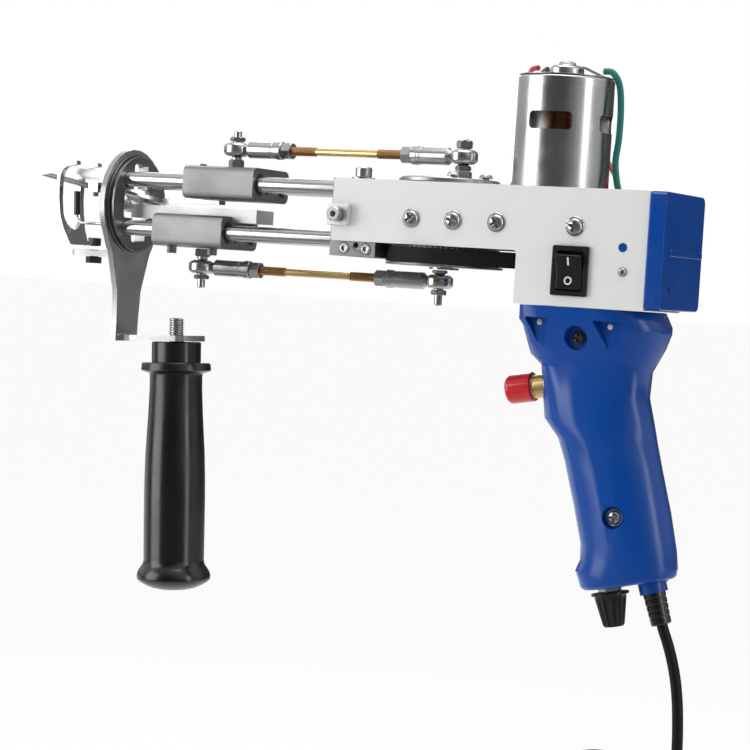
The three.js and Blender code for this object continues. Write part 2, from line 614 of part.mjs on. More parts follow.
// Rocker switch: its frame sits on the near panel and its body reaches in
const switchMiddle = { x: (switchFrame.front + switchFrame.rear) / 2,
  z: (switchFrame.bottom + switchFrame.top) / 2 };
const frameBack = sides.near - gap;
const frameFace = frameBack - switchFrame.proud;
const switchBody = cut(
  join(
    alongY(softened(rectangle(switchFrame.front, switchFrame.rear, switchFrame.bottom, switchFrame.top),
      switchFrame.round), frameFace, frameBack),
    box(
      switchFrame.front + switchFrame.lip, switchFrame.rear - switchFrame.lip, frameFace + gap,
        frameBack + switchFrame.depth,
      switchFrame.bottom + switchFrame.lip, switchFrame.top - switchFrame.lip,
    ),
  ),
  box(
    switchMiddle.x - rockerOpening.half, switchMiddle.x + rockerOpening.half, frameFace - overrun,
      frameFace + rockerOpening.depth,
    switchMiddle.z - rockerOpening.height, switchMiddle.z + rockerOpening.height,
  ),
);
piece(machine, "switch_body", switchBody, blackPlastic);
const rockerGroup = group("rocker_swing", machine, switchMiddle.x,
  frameFace + rocker.inset + rocker.back, switchMiddle.z);
rockerGroup.rotation.x = rockerRest;
const rockerOutline = [
  [rocker.back, -rocker.side], [rocker.back, rocker.side], [-rocker.shoulder, rocker.side],
  [-rocker.face, rocker.tip], [-rocker.hollow, 0], [-rocker.face, -rocker.tip],
  [-rocker.shoulder, -rocker.side],
];
piece(rockerGroup, "rocker", alongX(rockerOutline, -rocker.half, rocker.half), blackPlastic);

// Motor
const canInner = motor.radius - motor.wall;
const windowTools = [0, 1].map((i) => {
  const tool = box(-motor.radius - overrun, motor.radius + overrun, -canWindow.width / 2,
    canWindow.width / 2, canWindow.bottom, canWindow.top);
  return tool.rotateZ(canWindow.turn + (i * Math.PI) / 2);
});
const motorCan = cut(
  turned([
    [armature.shaft + gap, motor.bossBottom], [motor.bossRadius, motor.bossBottom],
    [motor.bossRadius, motor.bottom],
    [motor.radius - motor.wall, motor.bottom], [motor.radius, motor.bottom + motor.wall],
    [motor.radius, motor.top],
    [canInner, motor.top], [canInner, magnet.top], [magnet.inner, magnet.top], [magnet.inner, magnet.bottom],
    [canInner, magnet.bottom], [canInner, motor.bottom + motor.floor],
    [armature.shaft + gap, motor.bottom + motor.floor],
  ], fineSides),
  ...windowTools,
);
piece(machine, "motor_can", motorCan, steel);
const lidRadius = canInner - gap;
const lidBottom = motor.top - endCap.thick;
// A slanted terminal tab in the XZ plane, given by its ends
function tab(outerX, outerZ, innerX, innerZ) {
  const length = Math.hypot(outerX - innerX, outerZ - innerZ);
  const flat = box(0, length, -terminal.width / 2, terminal.width / 2, -terminal.thick / 2,
    terminal.thick / 2);
  return moved(flat.rotateY(-Math.atan2(outerZ - innerZ, outerX - innerX)), innerX, 0, innerZ);
}
function tabFoot(x, z) {
  const half = terminal.thick / 2;
  return box(x - half, x + half, -terminal.width / 2, terminal.width / 2, motor.top - overrun, z);
}
const motorEndCap = cut(
  join(
    turned([
      [0, lidBottom], [lidRadius, lidBottom], [lidRadius, motor.top], [endCap.boss, motor.top],
      [endCap.boss, endCap.bossTop - endCap.edge],
      [endCap.boss - endCap.edge, endCap.bossTop], [endCap.bumpRadius, endCap.bossTop + gap],
      [endCap.bumpRadius - endCap.edge, endCap.bumpTop],
      [0, endCap.bumpTop],
    ], fineSides),
    tab(-frontTerminal.outer, frontTerminal.outerZ, -frontTerminal.inner, frontTerminal.innerZ),
    tabFoot(-frontTerminal.inner - endCap.edge, frontTerminal.innerZ - endCap.edge / 2),
    tab(rearTerminal.outer, rearTerminal.outerZ, rearTerminal.inner, rearTerminal.innerZ),
    tabFoot(rearTerminal.inner + endCap.edge, rearTerminal.innerZ - endCap.edge / 2),
  ),
  cylinder(armature.shaft + gap, lidBottom - overrun, endCap.bore),
);
piece(machine, "motor_end_cap", motorEndCap, blackPlastic);
const rotor = group("motor_rotor", machine);
const armatureSolid = turned([
  [0, armature.bottom], [armature.shaft, armature.bottom], [armature.shaft, armature.coilBottom],
  [armature.coil, armature.coilBottom],
  [armature.coil, armature.coreBottom], [armature.core, armature.coreBottom],
  [armature.core, armature.coreTop],
  [armature.coil, armature.coreTop], [armature.coil, commutator.bottom],
  [commutator.radius, commutator.bottom],
  [commutator.radius, commutator.top], [armature.shaft, commutator.top], [armature.shaft, armature.top],
  [0, armature.top],
], smallSides);
piece(rotor, "armature", armatureSolid, copper);
const motorPulleySolid = cut(
  join(
    alongZ(toothedOutline(motorTeeth, motorPitchRadius, 0, 0),
      motorPulley.bottom + motorPulley.flangeThick / 2, motorPulley.top - motorPulley.flangeThick / 2),
    cylinder(motorPulley.flange, motorPulley.bottom, motorPulley.bottom + motorPulley.flangeThick),
    cylinder(motorPulley.flange, motorPulley.top - motorPulley.flangeThick, motorPulley.top),
  ),
  cylinder(armature.shaft + gap, motorPulley.bottom - overrun, motorPulley.top + overrun, smallSides),
);
piece(rotor, "motor_pulley", motorPulleySolid, aluminium);

// Motor leads: shares of the can's radius across, and of its height above its underside
const greenLeadShares = [[0.82, 0, 1.055], [1.01, 0, 1.045], [1.17, 0, 0.96], [1.23, 0, 0.8],
  [1.23, 0, 0.6], [1.19, 0, 0.44], [1.25, 0, 0.3], [1.34, 0, 0.2], [1.36, 0, 0.15]];
const redLeadShares = [
  [-0.62, -0.02, 1.07], [-0.86, 0.2, 1.06], [-1.02, 0.62, 0.97], [-0.4, 1.18, 0.78], [0.4, 1.2, 0.52],
  [0.8, 0.94, 0.38], [1.13, 0.36, 0.28], [1.22, 0.22, 0.2], [1.23, 0.2, 0.15],
];
function leadPoints(shares) {
  return shares.map(([x, y, z]) => [x * leadSpan.across, y * leadSpan.across,
    motor.bottom + z * leadSpan.up]);
}
piece(machine, "green_lead", tube(smooth(leadPoints(greenLeadShares), greenLeadSteps), leadRadius,
  wireSides), greenPlastic);
const leadAcross = new THREE.Vector3(1, 0, 1).normalize();
piece(machine, "red_lead", tube(smooth(leadPoints(redLeadShares), redLeadSteps), leadRadius, wireSides,
  leadAcross), redPlastic);

// Guide rods
[["upper_near_rod", -1, upperLine], ["upper_far_rod", 1, upperLine], ["lower_near_rod", -1, lowerLine],
["lower_far_rod", 1, lowerLine]].forEach(
  ([name, side, height]) => {
    const guide = moved(laidAlongX(cylinder(rod.radius, foremost + rod.front, rod.rear, smallSides)), 0,
      side * rod.spread, height);
    piece(machine, name, guide, steel);
  },
);

// Connecting rods: each has its own frame, from the front ball towards the crank pin
function rodEndSolid() {
  const innerFace = Math.sqrt(rodEnd.socket ** 2 - rodEnd.half ** 2);
  const head = turned([
    [innerFace, -rodEnd.half], [rodEnd.face, -rodEnd.half], [rodEnd.head, -rodEnd.rim],
    [rodEnd.head, rodEnd.rim], [rodEnd.face, rodEnd.half],
    [innerFace, rodEnd.half], [rodEnd.socket, rodEnd.rim], [rodEnd.socket, -rodEnd.rim],
  ]);
  const step = rodEnd.collar - rodEnd.shank;
  const shank = turned([
    [0, rodEndNeck.start], [rodEndNeck.radius, rodEndNeck.start], [rodEndNeck.radius, rodEnd.head],
    [rodEnd.shank, rodEndNeck.full],
    [rodEnd.shank, rodEnd.shankEnd], [rodEnd.collar, rodEnd.shankEnd + step],
    [rodEnd.collar, rodEnd.collarEnd], [0, rodEnd.collarEnd],
  ], smallSides);
  const bore = cylinder(stud.radius + gap, rodEnd.collarEnd - stud.depth - gap,
    rodEnd.collarEnd + overrun, tinySides);
  return cut(join(head, laidAlongX(shank)), laidAlongX(bore));
}
function studSolid() {
  const start = rodEnd.collarEnd - stud.depth;
  const nutStart = rodEnd.collarEnd + gap;
  return laidAlongX(join(
    cylinder(stud.radius, start, linkLength - start, tinySides),
    hexagon(jamNut.flats, nutStart, nutStart + jamNut.thick),
    hexagon(jamNut.flats, linkLength - nutStart - jamNut.thick, linkLength - nutStart),
  ));
}
// A ball pin, its ball at the origin and its seat below it. The sunk length goes on past the seat.
function ballPin(spec, sunk) {
  const faceRadius = Math.sqrt(ball.radius ** 2 - ball.half ** 2);
  const round = turned([
    [0, -spec.seat - sunk], [pin.radius, -spec.seat - sunk], [pin.radius, -spec.hexTop],
    [ball.neck, -spec.hexTop],
    [ball.neck, -ball.neckHalf], [pin.radius, -ball.neckHalf], [faceRadius, -ball.half],
    [ball.radius, -ball.rim],
    [ball.radius, ball.rim], [faceRadius, ball.half], [pin.radius, ball.neckHalf],
    [pin.radius, spec.end], [0, spec.end],
  ], smallSides);
  return join(round, hexagon(pin.flats, -spec.seat, -spec.hexTop),
    hexagon(pin.flats, ball.neckHalf, spec.nut));
}
function flipped(geometry) {
  return geometry.rotateX(Math.PI);
}
function linkage(name, pinTurn, height) {
  const pinX = crankX + crankRadius * Math.cos(pinTurn);
  const pinY = crankRadius * Math.sin(pinTurn);
  const frontX = pinX - Math.sqrt(linkLength ** 2 - pinY ** 2);
  const made = group(name + "_link", machine, frontX, 0, height);
  made.rotation.z = Math.atan2(pinY, pinX - frontX);
  piece(made, name + "_link_stud", studSolid(), brass);
  piece(made, name + "_front_rod_end", rodEndSolid(), steel);
  piece(made, name + "_rear_rod_end", rodEndSolid().rotateZ(Math.PI).translate(linkLength, 0, 0), steel);
  return { made, frontX };
}
const needleLink = linkage("needle", needlePinTurn, linkRise);
piece(needleLink.made, "needle_rear_pin", ballPin(needleRearPin, 0).translate(linkLength, 0, 0), steel);
const scissorLink = linkage("scissor", scissorPinTurn, 0);
piece(scissorLink.made, "scissor_rear_pin", flipped(ballPin(scissorRearPin, 0)).translate(linkLength, 0,
  0), steel);

// Sliders: a block with rounded long edges on two rods
function sliderBlock(middle, height) {
  const half = { length: slider.length / 2, width: slider.width / 2, height: slider.height / 2 };
  const outline = softened(rectangle(-half.width, half.width, height - half.height,
    height + half.height), slider.round);
  const front = middle - half.length;
  const rear = middle + half.length;
  const holes = [-1, 1].map((side) =>
    moved(laidAlongX(cylinder(sliderHole.radius, rear - sliderHole.depth, rear + overrun, 6)), 0,
      side * sliderHole.spread, height + side * sliderHole.up),
  );
  return cut(
    alongX(outline, front, rear),
    ...rodBores(rod.radius + gap, front - overrun, rear + overrun, height),
    ...rodBores(sliderBore.mouth, front - overrun, front + sliderBore.mouthDepth, height),
    ...rodBores(sliderBore.mouth, rear - sliderBore.mouthDepth, rear + overrun, height),
    ...holes,
  );
}
function pinBore(seat, direction) {
  const bore = cylinder(pin.radius + gap, -overrun, pin.sunk + gap, tinySides);
  return moved(direction < 0 ? flipped(bore) : bore, 0, 0, seat);
}

// Needle carriage
const needleCarriage = group("needle_carriage", machine, needleLink.frontX);
const upperTop = upperLine + slider.height / 2;
const upperBottom = upperLine - slider.height / 2;
piece(needleCarriage, "needle_slider", cut(sliderBlock(slider.offset, upperLine), pinBore(upperTop, -1)),
  aluminium);
const needleSeat = { ...needleFrontPin, seat: linkRise - upperTop - gap };
piece(needleCarriage, "needle_front_pin", ballPin(needleSeat, pin.sunk).translate(0, 0, linkRise), steel);
const needleLineAt = (x) => needle.tipZ + needle.slope * (x - needle.tipX);
const needleTilt = Math.atan(needle.slope);
const armOutline = [
  [arm.padRear, arm.bottom], [arm.padRear, arm.top], [arm.kneeX, arm.top], [armFront.x, armFront.top],
  [armFront.x, armFront.bottom],
  [arm.kneeX, arm.low], [arm.padFront, arm.bottom],
];
const clampMiddle = (needleClamp.front + needleClamp.rear) / 2;
const needleLength = needle.endX - needle.tipX;
const needleBore = moved(laidAlongX(cylinder(needle.radius + gap, -needleLength, needleLength,
  tinySides)).rotateY(-needleTilt), clampMiddle, 0, needleLineAt(clampMiddle));
const needleArm = cut(
  join(
    alongY(armOutline, arm.near, arm.far),
    box(arm.padFront, arm.padRear, -arm.padHalf, arm.padHalf, arm.bottom, upperBottom - gap),
    box(needleClamp.front, needleClamp.rear, -needleClamp.half, needleClamp.half, needleClamp.bottom,
      needleClamp.top),
    moved(cylinder(needleClamp.screw, needleClamp.screwBottom, needleClamp.bottom + overrun, tinySides),
      clampMiddle),
  ),
  needleBore,
);
piece(needleCarriage, "needle_arm", needleArm, steel);
// A path whose two ends are carried on, for a tool that cuts right through
function carriedOn(points) {
  const onward = (end, before) => end.clone().add(end.clone().sub(before).setLength(overrun));
  const last = points.length - 1;
  return [onward(points[0], points[1]), ...points.slice(1, last), onward(points[last], points[last - 1])];
}
// The hollow needle: a straight tube that turns down at its rear, with its tip cut on a slant
function needlePath() {
  const straight = needleShares.map((share) => {
    const x = needle.tipX + share * (needle.bendX - needle.tipX);
    return new THREE.Vector3(x, 0, needleLineAt(x));
  });
  const bend = new THREE.QuadraticBezierCurve3(
    new THREE.Vector3(needle.bendX, 0, needleLineAt(needle.bendX)),
    new THREE.Vector3(needle.endX, 0, needleLineAt(needle.endX)),
    new THREE.Vector3(needle.endX, 0, needle.endZ),
  );
  return [...straight, ...bend.getPoints(needleBendSteps)];
}
const tipTool = box(-needle.tipLength, needle.tipLength, -needle.tipLength, needle.tipLength, 0,
  needle.tipLength);
const tipSlant = Math.atan((2 * needle.radius) / needle.tipLength);
const tipMiddle = needle.tipX + needle.tipLength / 2;
const needleSolid = cut(
  tube(needlePath(), needle.radius, tinySides),
  tube(carriedOn(needlePath()), needle.bore, wireSides),
  moved(tipTool.rotateY(-needleTilt - tipSlant), tipMiddle, 0, needleLineAt(tipMiddle)),
);
piece(needleCarriage, "needle", needleSolid, steel);

// Scissor carriage
const scissorCarriage = group("scissor_carriage", machine, scissorLink.frontX);
const lowerTop = lowerLine + slider.height / 2;
const lowerBottom = lowerLine - slider.height / 2;
const boltSpots = [-1, 1].map((side) => slider.offset + side * sliderBolt.spread);
const scissorSlider = cut(
  join(
    sliderBlock(slider.offset, lowerLine),
    ...boltSpots.map((x) => moved(cylinder(sliderBolt.head, lowerBottom - sliderBolt.thick,
      lowerBottom + overrun, tinySides), x, -rod.spread)),
  ),
  pinBore(lowerBottom, 1),
  box(-slider.length, slider.length, -bar.half - gap, bar.half + gap, bar.bottom - gap, lowerTop + overrun),
);
piece(scissorCarriage, "scissor_slider", scissorSlider, aluminium);
const scissorSeat = { ...scissorFrontPin, seat: lowerBottom - gap };
piece(scissorCarriage, "scissor_front_pin", flipped(ballPin(scissorSeat, pin.sunk)), steel);
function crossPin(radius, y0, y1, sides = smallSides) {
  return moved(laidAlongY(cylinder(radius, y0, y1, sides)), pivot.x, 0, pivot.z);
}
const cheekInner = bar.half - bar.wall;
const cheek = (y0, y1) => join(
  crossPin(pivot.cheek, y0, y1),
  box(pivot.x, bar.front + overrun, y0, y1, pivot.z - pivot.cheek, bar.top),
);
const scissorBar = cut(
  join(
    cut(
      box(bar.front, bar.rear, -bar.half, bar.half, bar.bottom, bar.top),
      box(bar.front - overrun, bar.rear - bar.wall, -cheekInner, cheekInner, bar.bottom + bar.wall,
        bar.top + overrun),
    ),
    cheek(-bar.half, -cheekInner),
    cheek(cheekInner, bar.half),
    crossPin(pivot.collar, -cheekInner - gap, -blade.far - gap),
    crossPin(pivot.pin, -cheekInner - gap, -pivot.stub),
    crossPin(pivot.head, -pivot.headOut, -bar.half + gap),
  ),
  crossPin(pivot.pin + gap, cheekInner - overrun, bar.half + overrun),
);
piece(scissorCarriage, "scissor_bar", scissorBar, aluminium);
// One blade on the far side of the needle: boss, arm, web across to the middle, and beak
function bladeSolid() {
  const rise = new THREE.Vector2(blade.elbowX - pivot.x, blade.elbowZ - pivot.z);
  const strip = box(0, rise.length(), blade.near, blade.far, -pivot.boss, pivot.boss);
  const beakOutline = beakShares.map(([along, up]) => [blade.elbowX - along * beak.length,
    beak.bottom + up * beak.height]);
  return join(
    crossPin(pivot.boss, blade.near, blade.far),
    moved(strip.rotateY(-rise.angle()), pivot.x, 0, pivot.z),
    moved(laidAlongY(cylinder(pivot.boss, blade.near, blade.far, smallSides)), blade.elbowX, 0, blade.elbowZ),
    box(blade.web, blade.webRear, blade.inner, blade.far, beak.bottom, beak.bottom + beak.height),
    alongY(beakOutline, blade.inner, blade.outer),
  );
}
const fixedBlade = join(
  bladeSolid(),
  crossPin(pivot.collar, blade.far - gap, cheekInner - gap),
  crossPin(pivot.pin, cheekInner - overrun, pivot.farEnd),
);
piece(scissorCarriage, "fixed_blade", fixedBlade, steel);
const bladeSwing = group("blade_swing", scissorCarriage, pivot.x, 0, pivot.z);
bladeSwing.rotation.y = bladeOpen;
// A solid reflected to the other side of the middle plane, with its faces turned round again
function reflected(geometry) {
  const flippedFaces = geometry.scale(1, -1, 1);
  const order = flippedFaces.index.array;
  for (let i = 0; i < order.length; i += 3) [order[i + 1], order[i + 2]] = [order[i + 2], order[i + 1]];
  return flippedFaces;
}
const movingBlade = cut(reflected(bladeSolid()), crossPin(pivot.pin + gap, -blade.far - overrun,
  -blade.near + overrun));
piece(bladeSwing, "moving_blade", movingBlade.translate(-pivot.x, 0, -pivot.z), steel);

const frontEnd = group("front_end", machine, foremost);

// Nose disc: a lip, a groove and a rear rim, with a cross-shaped window
function crossWindow(shape, x0, x1) {
  const upright = softened(rectangle(-shape.half, shape.half, shape.bottom, shape.top), shape.round);
  const across = softened(rectangle(-shape.arm, shape.arm, shape.armBottom, shape.armTop), shape.round);
  return join(alongX(upright, x0, x1), alongX(across, x0, x1));
}
const noseProfile = [
  [0, nose.front], [nose.lip, nose.front], [nose.lip, nose.front + nose.lipThick],
  [nose.groove, nose.front + nose.lipThick],
  [nose.groove, nose.front + nose.lipThick + nose.grooveThick],
  [nose.rearRim, nose.front + nose.lipThick + nose.grooveThick],
  [nose.rearRim, nose.rear], [0, nose.rear],
];
const noseDisc = cut(
  moved(laidAlongX(turned(noseProfile, fineSides)), 0, 0, nose.centre),
  crossWindow(noseWindow, nose.front - overrun, nose.rear + overrun),
  ...rodBores(rod.radius + gap, nose.front - overrun, nose.rear + overrun, upperLine),
  ...rodBores(rod.radius + gap, nose.front - overrun, nose.rear + overrun, lowerLine),
);
piece(frontEnd, "nose_disc", noseDisc, aluminium);

// Handle bracket: a ring, a tapering arm, a foot under the side handle and a shelf under the presser foot
const bracketRear = bracket.front + bracket.thick;
const armShape = mirrored([
  [armHalves.ankle, bracket.bottom], [armHalves.ankle, armHeights.ankle], [armHalves.knee, armHeights.knee],
  [armHalves.waist, armHeights.waist], [armHalves.shoulder, armHeights.shoulder],
  [armHalves.root, armHeights.root],
]);
const footOutline = [
  [bracket.front, -armHalves.ankle], [bracket.front + bracket.footRound, -bracket.footHalf],
  [bracket.footRear, -bracket.footHalf],
  [bracket.footRear, bracket.footHalf], [bracket.front + bracket.footRound, bracket.footHalf],
  [bracket.front, armHalves.ankle],
];
const footCorners = softened(footOutline.slice(1, 5), bracket.footRound - overrun);
const footPlate = alongZ([footOutline[0], ...footCorners, footOutline[5]], 0,
  bracket.thick).translate(-bracket.front, 0, 0);
const shelfOutline = softened(rectangle(shelf.front, bracketRear, -shelf.half, shelf.half), shelf.round);
const shelfTop = shelf.bottom + shelf.thick;
const boltHole = cylinder(footBolt.shank + gap, shelf.bottom - overrun, foot.base + foot.thick + overrun,
  smallSides);
const studAlong = (handle.x - bracket.front) / Math.cos(bracketTilt);
const handleFrame = { x: handle.x, z: bracket.bottom + (handle.x - bracket.front) * Math.tan(bracketTilt) };
const studHole = cylinder(handleStud.radius + gap, -bracket.thick, 2 * bracket.thick,
  smallSides).translate(studAlong, 0, 0);
const guardHole = moved(laidAlongX(cylinder(guard.radius + gap, bracket.front - overrun,
  bracketRear + overrun, tinySides)), 0, guard.rootY, guard.z);
const handleBracket = cut(
  join(
    cut(
      moved(laidAlongX(cylinder(bracket.ring, bracket.front, bracketRear, fineSides)), 0, 0, nose.centre),
      crossWindow(ringWindow, bracket.front - overrun, bracketRear + overrun),
    ),
    cut(
      alongX(armShape, bracket.front, bracketRear),
      alongX(rectangle(-ringWindow.half, ringWindow.half, ringWindow.bottom, armHeights.root + overrun),
        bracket.front - overrun, bracketRear + overrun),
    ),
    cut(footPlate, studHole).rotateY(-bracketTilt).translate(bracket.front, 0, bracket.bottom),
    alongZ(shelfOutline, shelf.bottom, shelfTop),
    box(bracket.front - overrun, bracketRear, -shelf.half, shelf.half, shelf.bottom, shelfTop),
  ),
  boltHole.translate(footBolt.x, 0, 0),
  guardHole,
);
piece(frontEnd, "handle_bracket", handleBracket, steel);

// The side handle turns about the stud's axis, which is square to the bracket's foot
const handleProfile = handleShares.map(([along, out]) => [out * handle.radius,
  -gap - along * (handle.length - gap)]);
const handleSolid = cut(
  turned([[0, -gap], ...handleProfile, [0, -handle.length]], roundSides),
  cylinder(handleStud.radius + gap, -handle.bore, overrun, smallSides),
);
function onHandleAxis(geometry) {
  return geometry.rotateY(-bracketTilt).translate(handleFrame.x, 0, handleFrame.z);
}
piece(frontEnd, "side_handle", onHandleAxis(handleSolid), blackRubber);
const studTop = handleStud.top - handleFrame.z;
const handleStudSolid = turned([
  [0, -handleStud.depth], [handleStud.radius, -handleStud.depth],
  [handleStud.radius, studTop - handleStud.edge],
  [handleStud.radius - handleStud.edge, studTop], [0, studTop],
], smallSides);
piece(frontEnd, "handle_stud", onHandleAxis(handleStudSolid), steel);

// Presser foot: a bent strip cut to its front outline, with a slot that is open at the top
function strip(points, thick) {
  const edge = (side) => points.map((point, i) => {
    const along = toward(points[Math.max(i - 1, 0)], points[Math.min(i + 1, points.length - 1)]);
    return [point[0] - (side * along.y * thick) / 2, point[1] + (side * along.x * thick) / 2];
  });
  return [...edge(1), ...edge(-1).reverse()];
}
const footLine = footShares.map(([ahead, up]) => [foot.heel - ahead * foot.reach,
  foot.base + up * foot.rise]);
const footFront = mirrored([
  [foot.baseHalf, 0], [foot.baseHalf, footFlare.low], [footFlare.midHalf, footFlare.mid],
  [foot.topHalf, footFlare.mid * 2], [foot.topHalf, footFlare.high],
]);
const slotCircle = moved(laidAlongX(cylinder(foot.slotHalf, foot.heel - 2 * foot.reach, foot.heel,
  roundSides)), 0, 0, foot.slotCentre);
const footSolid = cut(
  shared(alongY(strip(footLine, foot.thick), -foot.topHalf, foot.topHalf),
    alongX(footFront, foot.heel - 2 * foot.reach, foot.heel + overrun)),
  slotCircle,
  box(foot.heel - 2 * foot.reach, foot.heel, -foot.slotHalf, foot.slotHalf, foot.slotCentre,
    footFlare.high + overrun),
  cylinder(footBolt.shank + gap, 0, footBolt.headTop, smallSides).translate(footBolt.x, 0, 0),
);
piece(frontEnd, "presser_foot", footSolid, steel);
const footBoltSolid = join(
  cylinder(footBolt.head, foot.base + foot.thick / 2 + gap, footBolt.headTop, smallSides),
  cylinder(footBolt.shank, footBolt.nutBottom, footBolt.headTop - overrun, tinySides),
  hexagon(footBolt.nutFlats, footBolt.nutBottom, footBolt.nutTop),
);
piece(frontEnd, "foot_bolt", footBoltSolid.translate(footBolt.x, 0, 0), darkSteel);

// Guard wire: out of the ring, forward, and up through the foot's slot, ending in a sleeve
const guardTop = guard.z + guard.bend + guard.sleeveLength;
const guardLine = smooth([
  [bracket.front + guard.sunk, guard.rootY, guard.z], [bracket.front - guard.sunk, guard.rootY, guard.z],
  [bracket.front - guard.bend * 2, (guard.rootY + guard.y) / 2, guard.z],
  [bracket.front - guard.bend * 4, guard.y, guard.z],
  [guard.x + guard.bend, guard.y, guard.z], [guard.x + guard.lean, guard.y, guard.z + guard.bend / 2],
  [guard.x, guard.y, guard.z + guard.bend], [guard.x - guard.lean, guard.y, guardTop],
], guardSteps);
const sleeveFoot = new THREE.Vector3(guard.x, guard.y, guard.z + guard.bend / 2 + guard.radius);
const sleeveHead = new THREE.Vector3(guard.x - guard.lean, guard.y, guardTop);
const guardWire = join(tube(guardLine, guard.radius, wireSides),
  tube([sleeveFoot, sleeveHead], guard.sleeve, tinySides));
piece(frontEnd, "guard_wire", guardWire, steel);

// Pistol grip: one lofted form cut into two shells with a parting gap
function gripRing([down, front, rear, half, frontPower, rearPower]) {
  const x0 = grip.front + front * grip.length;
  const x1 = grip.front + rear * grip.length;
  const reach = (x1 - x0) / 2;
  return Array.from({ length: gripSides }, (_, i) => {
    const turn = (2 * Math.PI * i) / gripSides;
    const power = 2 / (Math.cos(turn) > 0 ? rearPower : frontPower);
    const x = Math.sign(Math.cos(turn)) * Math.abs(Math.cos(turn)) ** power;
    const y = Math.sign(Math.sin(turn)) * Math.abs(Math.sin(turn)) ** power;
    return [(x0 + x1) / 2 + x * reach, y * half * grip.half, grip.top - down * grip.depth];
  });
}
function onAxis(geometry, spot, tilt) {
  return geometry.rotateY(tilt).translate(spot.x, 0, spot.z);
}
const floorTool = box(-grip.length, 2 * grip.length, -grip.half, grip.half, -grip.length, 0);
const bossSpot = { x: relief.x, z: relief.z };
const gripForm = join(
  cut(loft(gripShares.map(gripRing)), onAxis(floorTool, gripFloor, -gripFloorTilt)),
  onAxis(cylinder(relief.boss, 0, relief.bossRoot), bossSpot, -reliefTilt),
);
const triggerAxis = (geometry) => onAxis(laidAlongX(geometry), trigger, -triggerTilt);
const pocketPair = ({ left, right, apex }) => {
  const outline = [[left, -pocket.top], [apex, -pocket.apex], [right, -pocket.top]];
  return [alongY(outline, -2 * grip.half, -pocket.floor), alongY(outline, pocket.floor, 2 * grip.half)];
};
const gripPockets = [
  ...pocketPair(frontPocket),
  ...pocketPair(rearPocket),
  triggerAxis(cylinder(collar.radius + gap, -trigger.boreEnd, collar.back + gap, roundSides)),
  triggerAxis(cylinder(collar.bore, 0, collar.back + trigger.stemBack, smallSides)),
  onAxis(cylinder(pot.body + gap, -overrun * 2, pot.depth + gap, roundSides), knobSpot, -knobTilt),
  onAxis(cylinder(relief.root + gap, -overrun, relief.sunk + gap, roundSides), bossSpot, -reliefTilt),
];
const nearRecesses = [gripHole, gripScrew].map((hole) =>
  moved(laidAlongY(cylinder(hole.radius, -grip.half * 2, -hole.floor, roundSides)), hole.x, 0, hole.z),
);
const halfBetween = (y0, y1) => box(-2 * grip.length, 3 * grip.length, y0, y1, grip.top - 2 * grip.depth,
  grip.top + overrun);
const nearHalf = halfBetween(-2 * grip.half, -gap / 2);
const farHalf = halfBetween(gap / 2, 2 * grip.half);
const gripCut = cut(gripForm, ...gripPockets);
piece(machine, "left_grip_shell", cut(shared(gripCut, nearHalf), ...nearRecesses), bluePlastic);
piece(machine, "right_grip_shell", shared(gripCut, farHalf), bluePlastic);

// Trigger: a red cap over a brass collar, its stem in the collar's bore
piece(machine, "trigger_collar", triggerAxis(ring(collar.bore, collar.radius, -collar.end, collar.back)),
  brass);
const triggerSlide = group("trigger_slide", machine, trigger.x, 0, trigger.z);
triggerSlide.rotation.y = -triggerTilt;
const capEdge = trigger.capEnd - trigger.round;
const triggerButton = turned([
  [0, -trigger.capEnd], [trigger.cap - trigger.round, -trigger.capEnd], [trigger.cap, -capEdge],
  [trigger.cap, -trigger.capStart],
  [trigger.bore, -trigger.capStart], [trigger.bore, -trigger.boreEnd], [trigger.stem, -trigger.boreEnd],
  [trigger.stem, trigger.stemBack], [0, trigger.stemBack],
]);
piece(triggerSlide, "trigger_button", laidAlongX(triggerButton), redPlastic);

// Speed control: a potentiometer in the grip's underside and a fluted knob on its shaft
const potSolid = join(
  cylinder(pot.body, -gap, pot.depth, roundSides),
  hexagon(pot.nutFlats, -pot.nutBottom, 0),
  cylinder(pot.shaft, -pot.shaftEnd, 0, smallSides),
);
piece(machine, "speed_pot", onAxis(potSolid, knobSpot, -knobTilt), steel);
const knobTurn = group("speed_knob_turn", machine, knobSpot.x, 0, knobSpot.z);
knobTurn.rotation.y = -knobTilt;
const knobRings = knobShares.map(([along, out]) => {
  const height = -knob.start - along * (knob.length - knob.start);
  return Array.from({ length: knobFlutes * 2 }, (_, i) => {
    const share = i % 2 && along > knobShares[2][0] - gap && out < 1 ? fluteShare : 1;
    const turn = (Math.PI * i) / knobFlutes;
    const radius = knob.flange * out * share;
    return [radius * Math.cos(turn), radius * Math.sin(turn), height];
  });
});
const knobSolid = cut(loft(knobRings), cylinder(pot.shaft + gap, -knob.start - knob.bore, 0, smallSides));
piece(knobTurn, "speed_knob", knobSolid, blackPlastic);

// Strain relief, cord, the coil of the unseen cord and its plug
const reliefSolid = turned([
  [relief.bore, -relief.length], [relief.end, -relief.length], [relief.root, -gap],
  [relief.root, relief.sunk], [relief.bore, relief.sunk],
]);
piece(machine, "strain_relief", onAxis(reliefSolid, bossSpot, -reliefTilt), blackRubber);
const coilHead = new THREE.Vector3(coil.x + coil.radius, 0, coil.z + coil.lead);
const cordLine = smooth([...cordPoints, [coilHead.x, 0, coilHead.z + gap]], cordSteps);
piece(machine, "cord_run", tube(cordLine, cordRadius, cordSides), blackRubber);
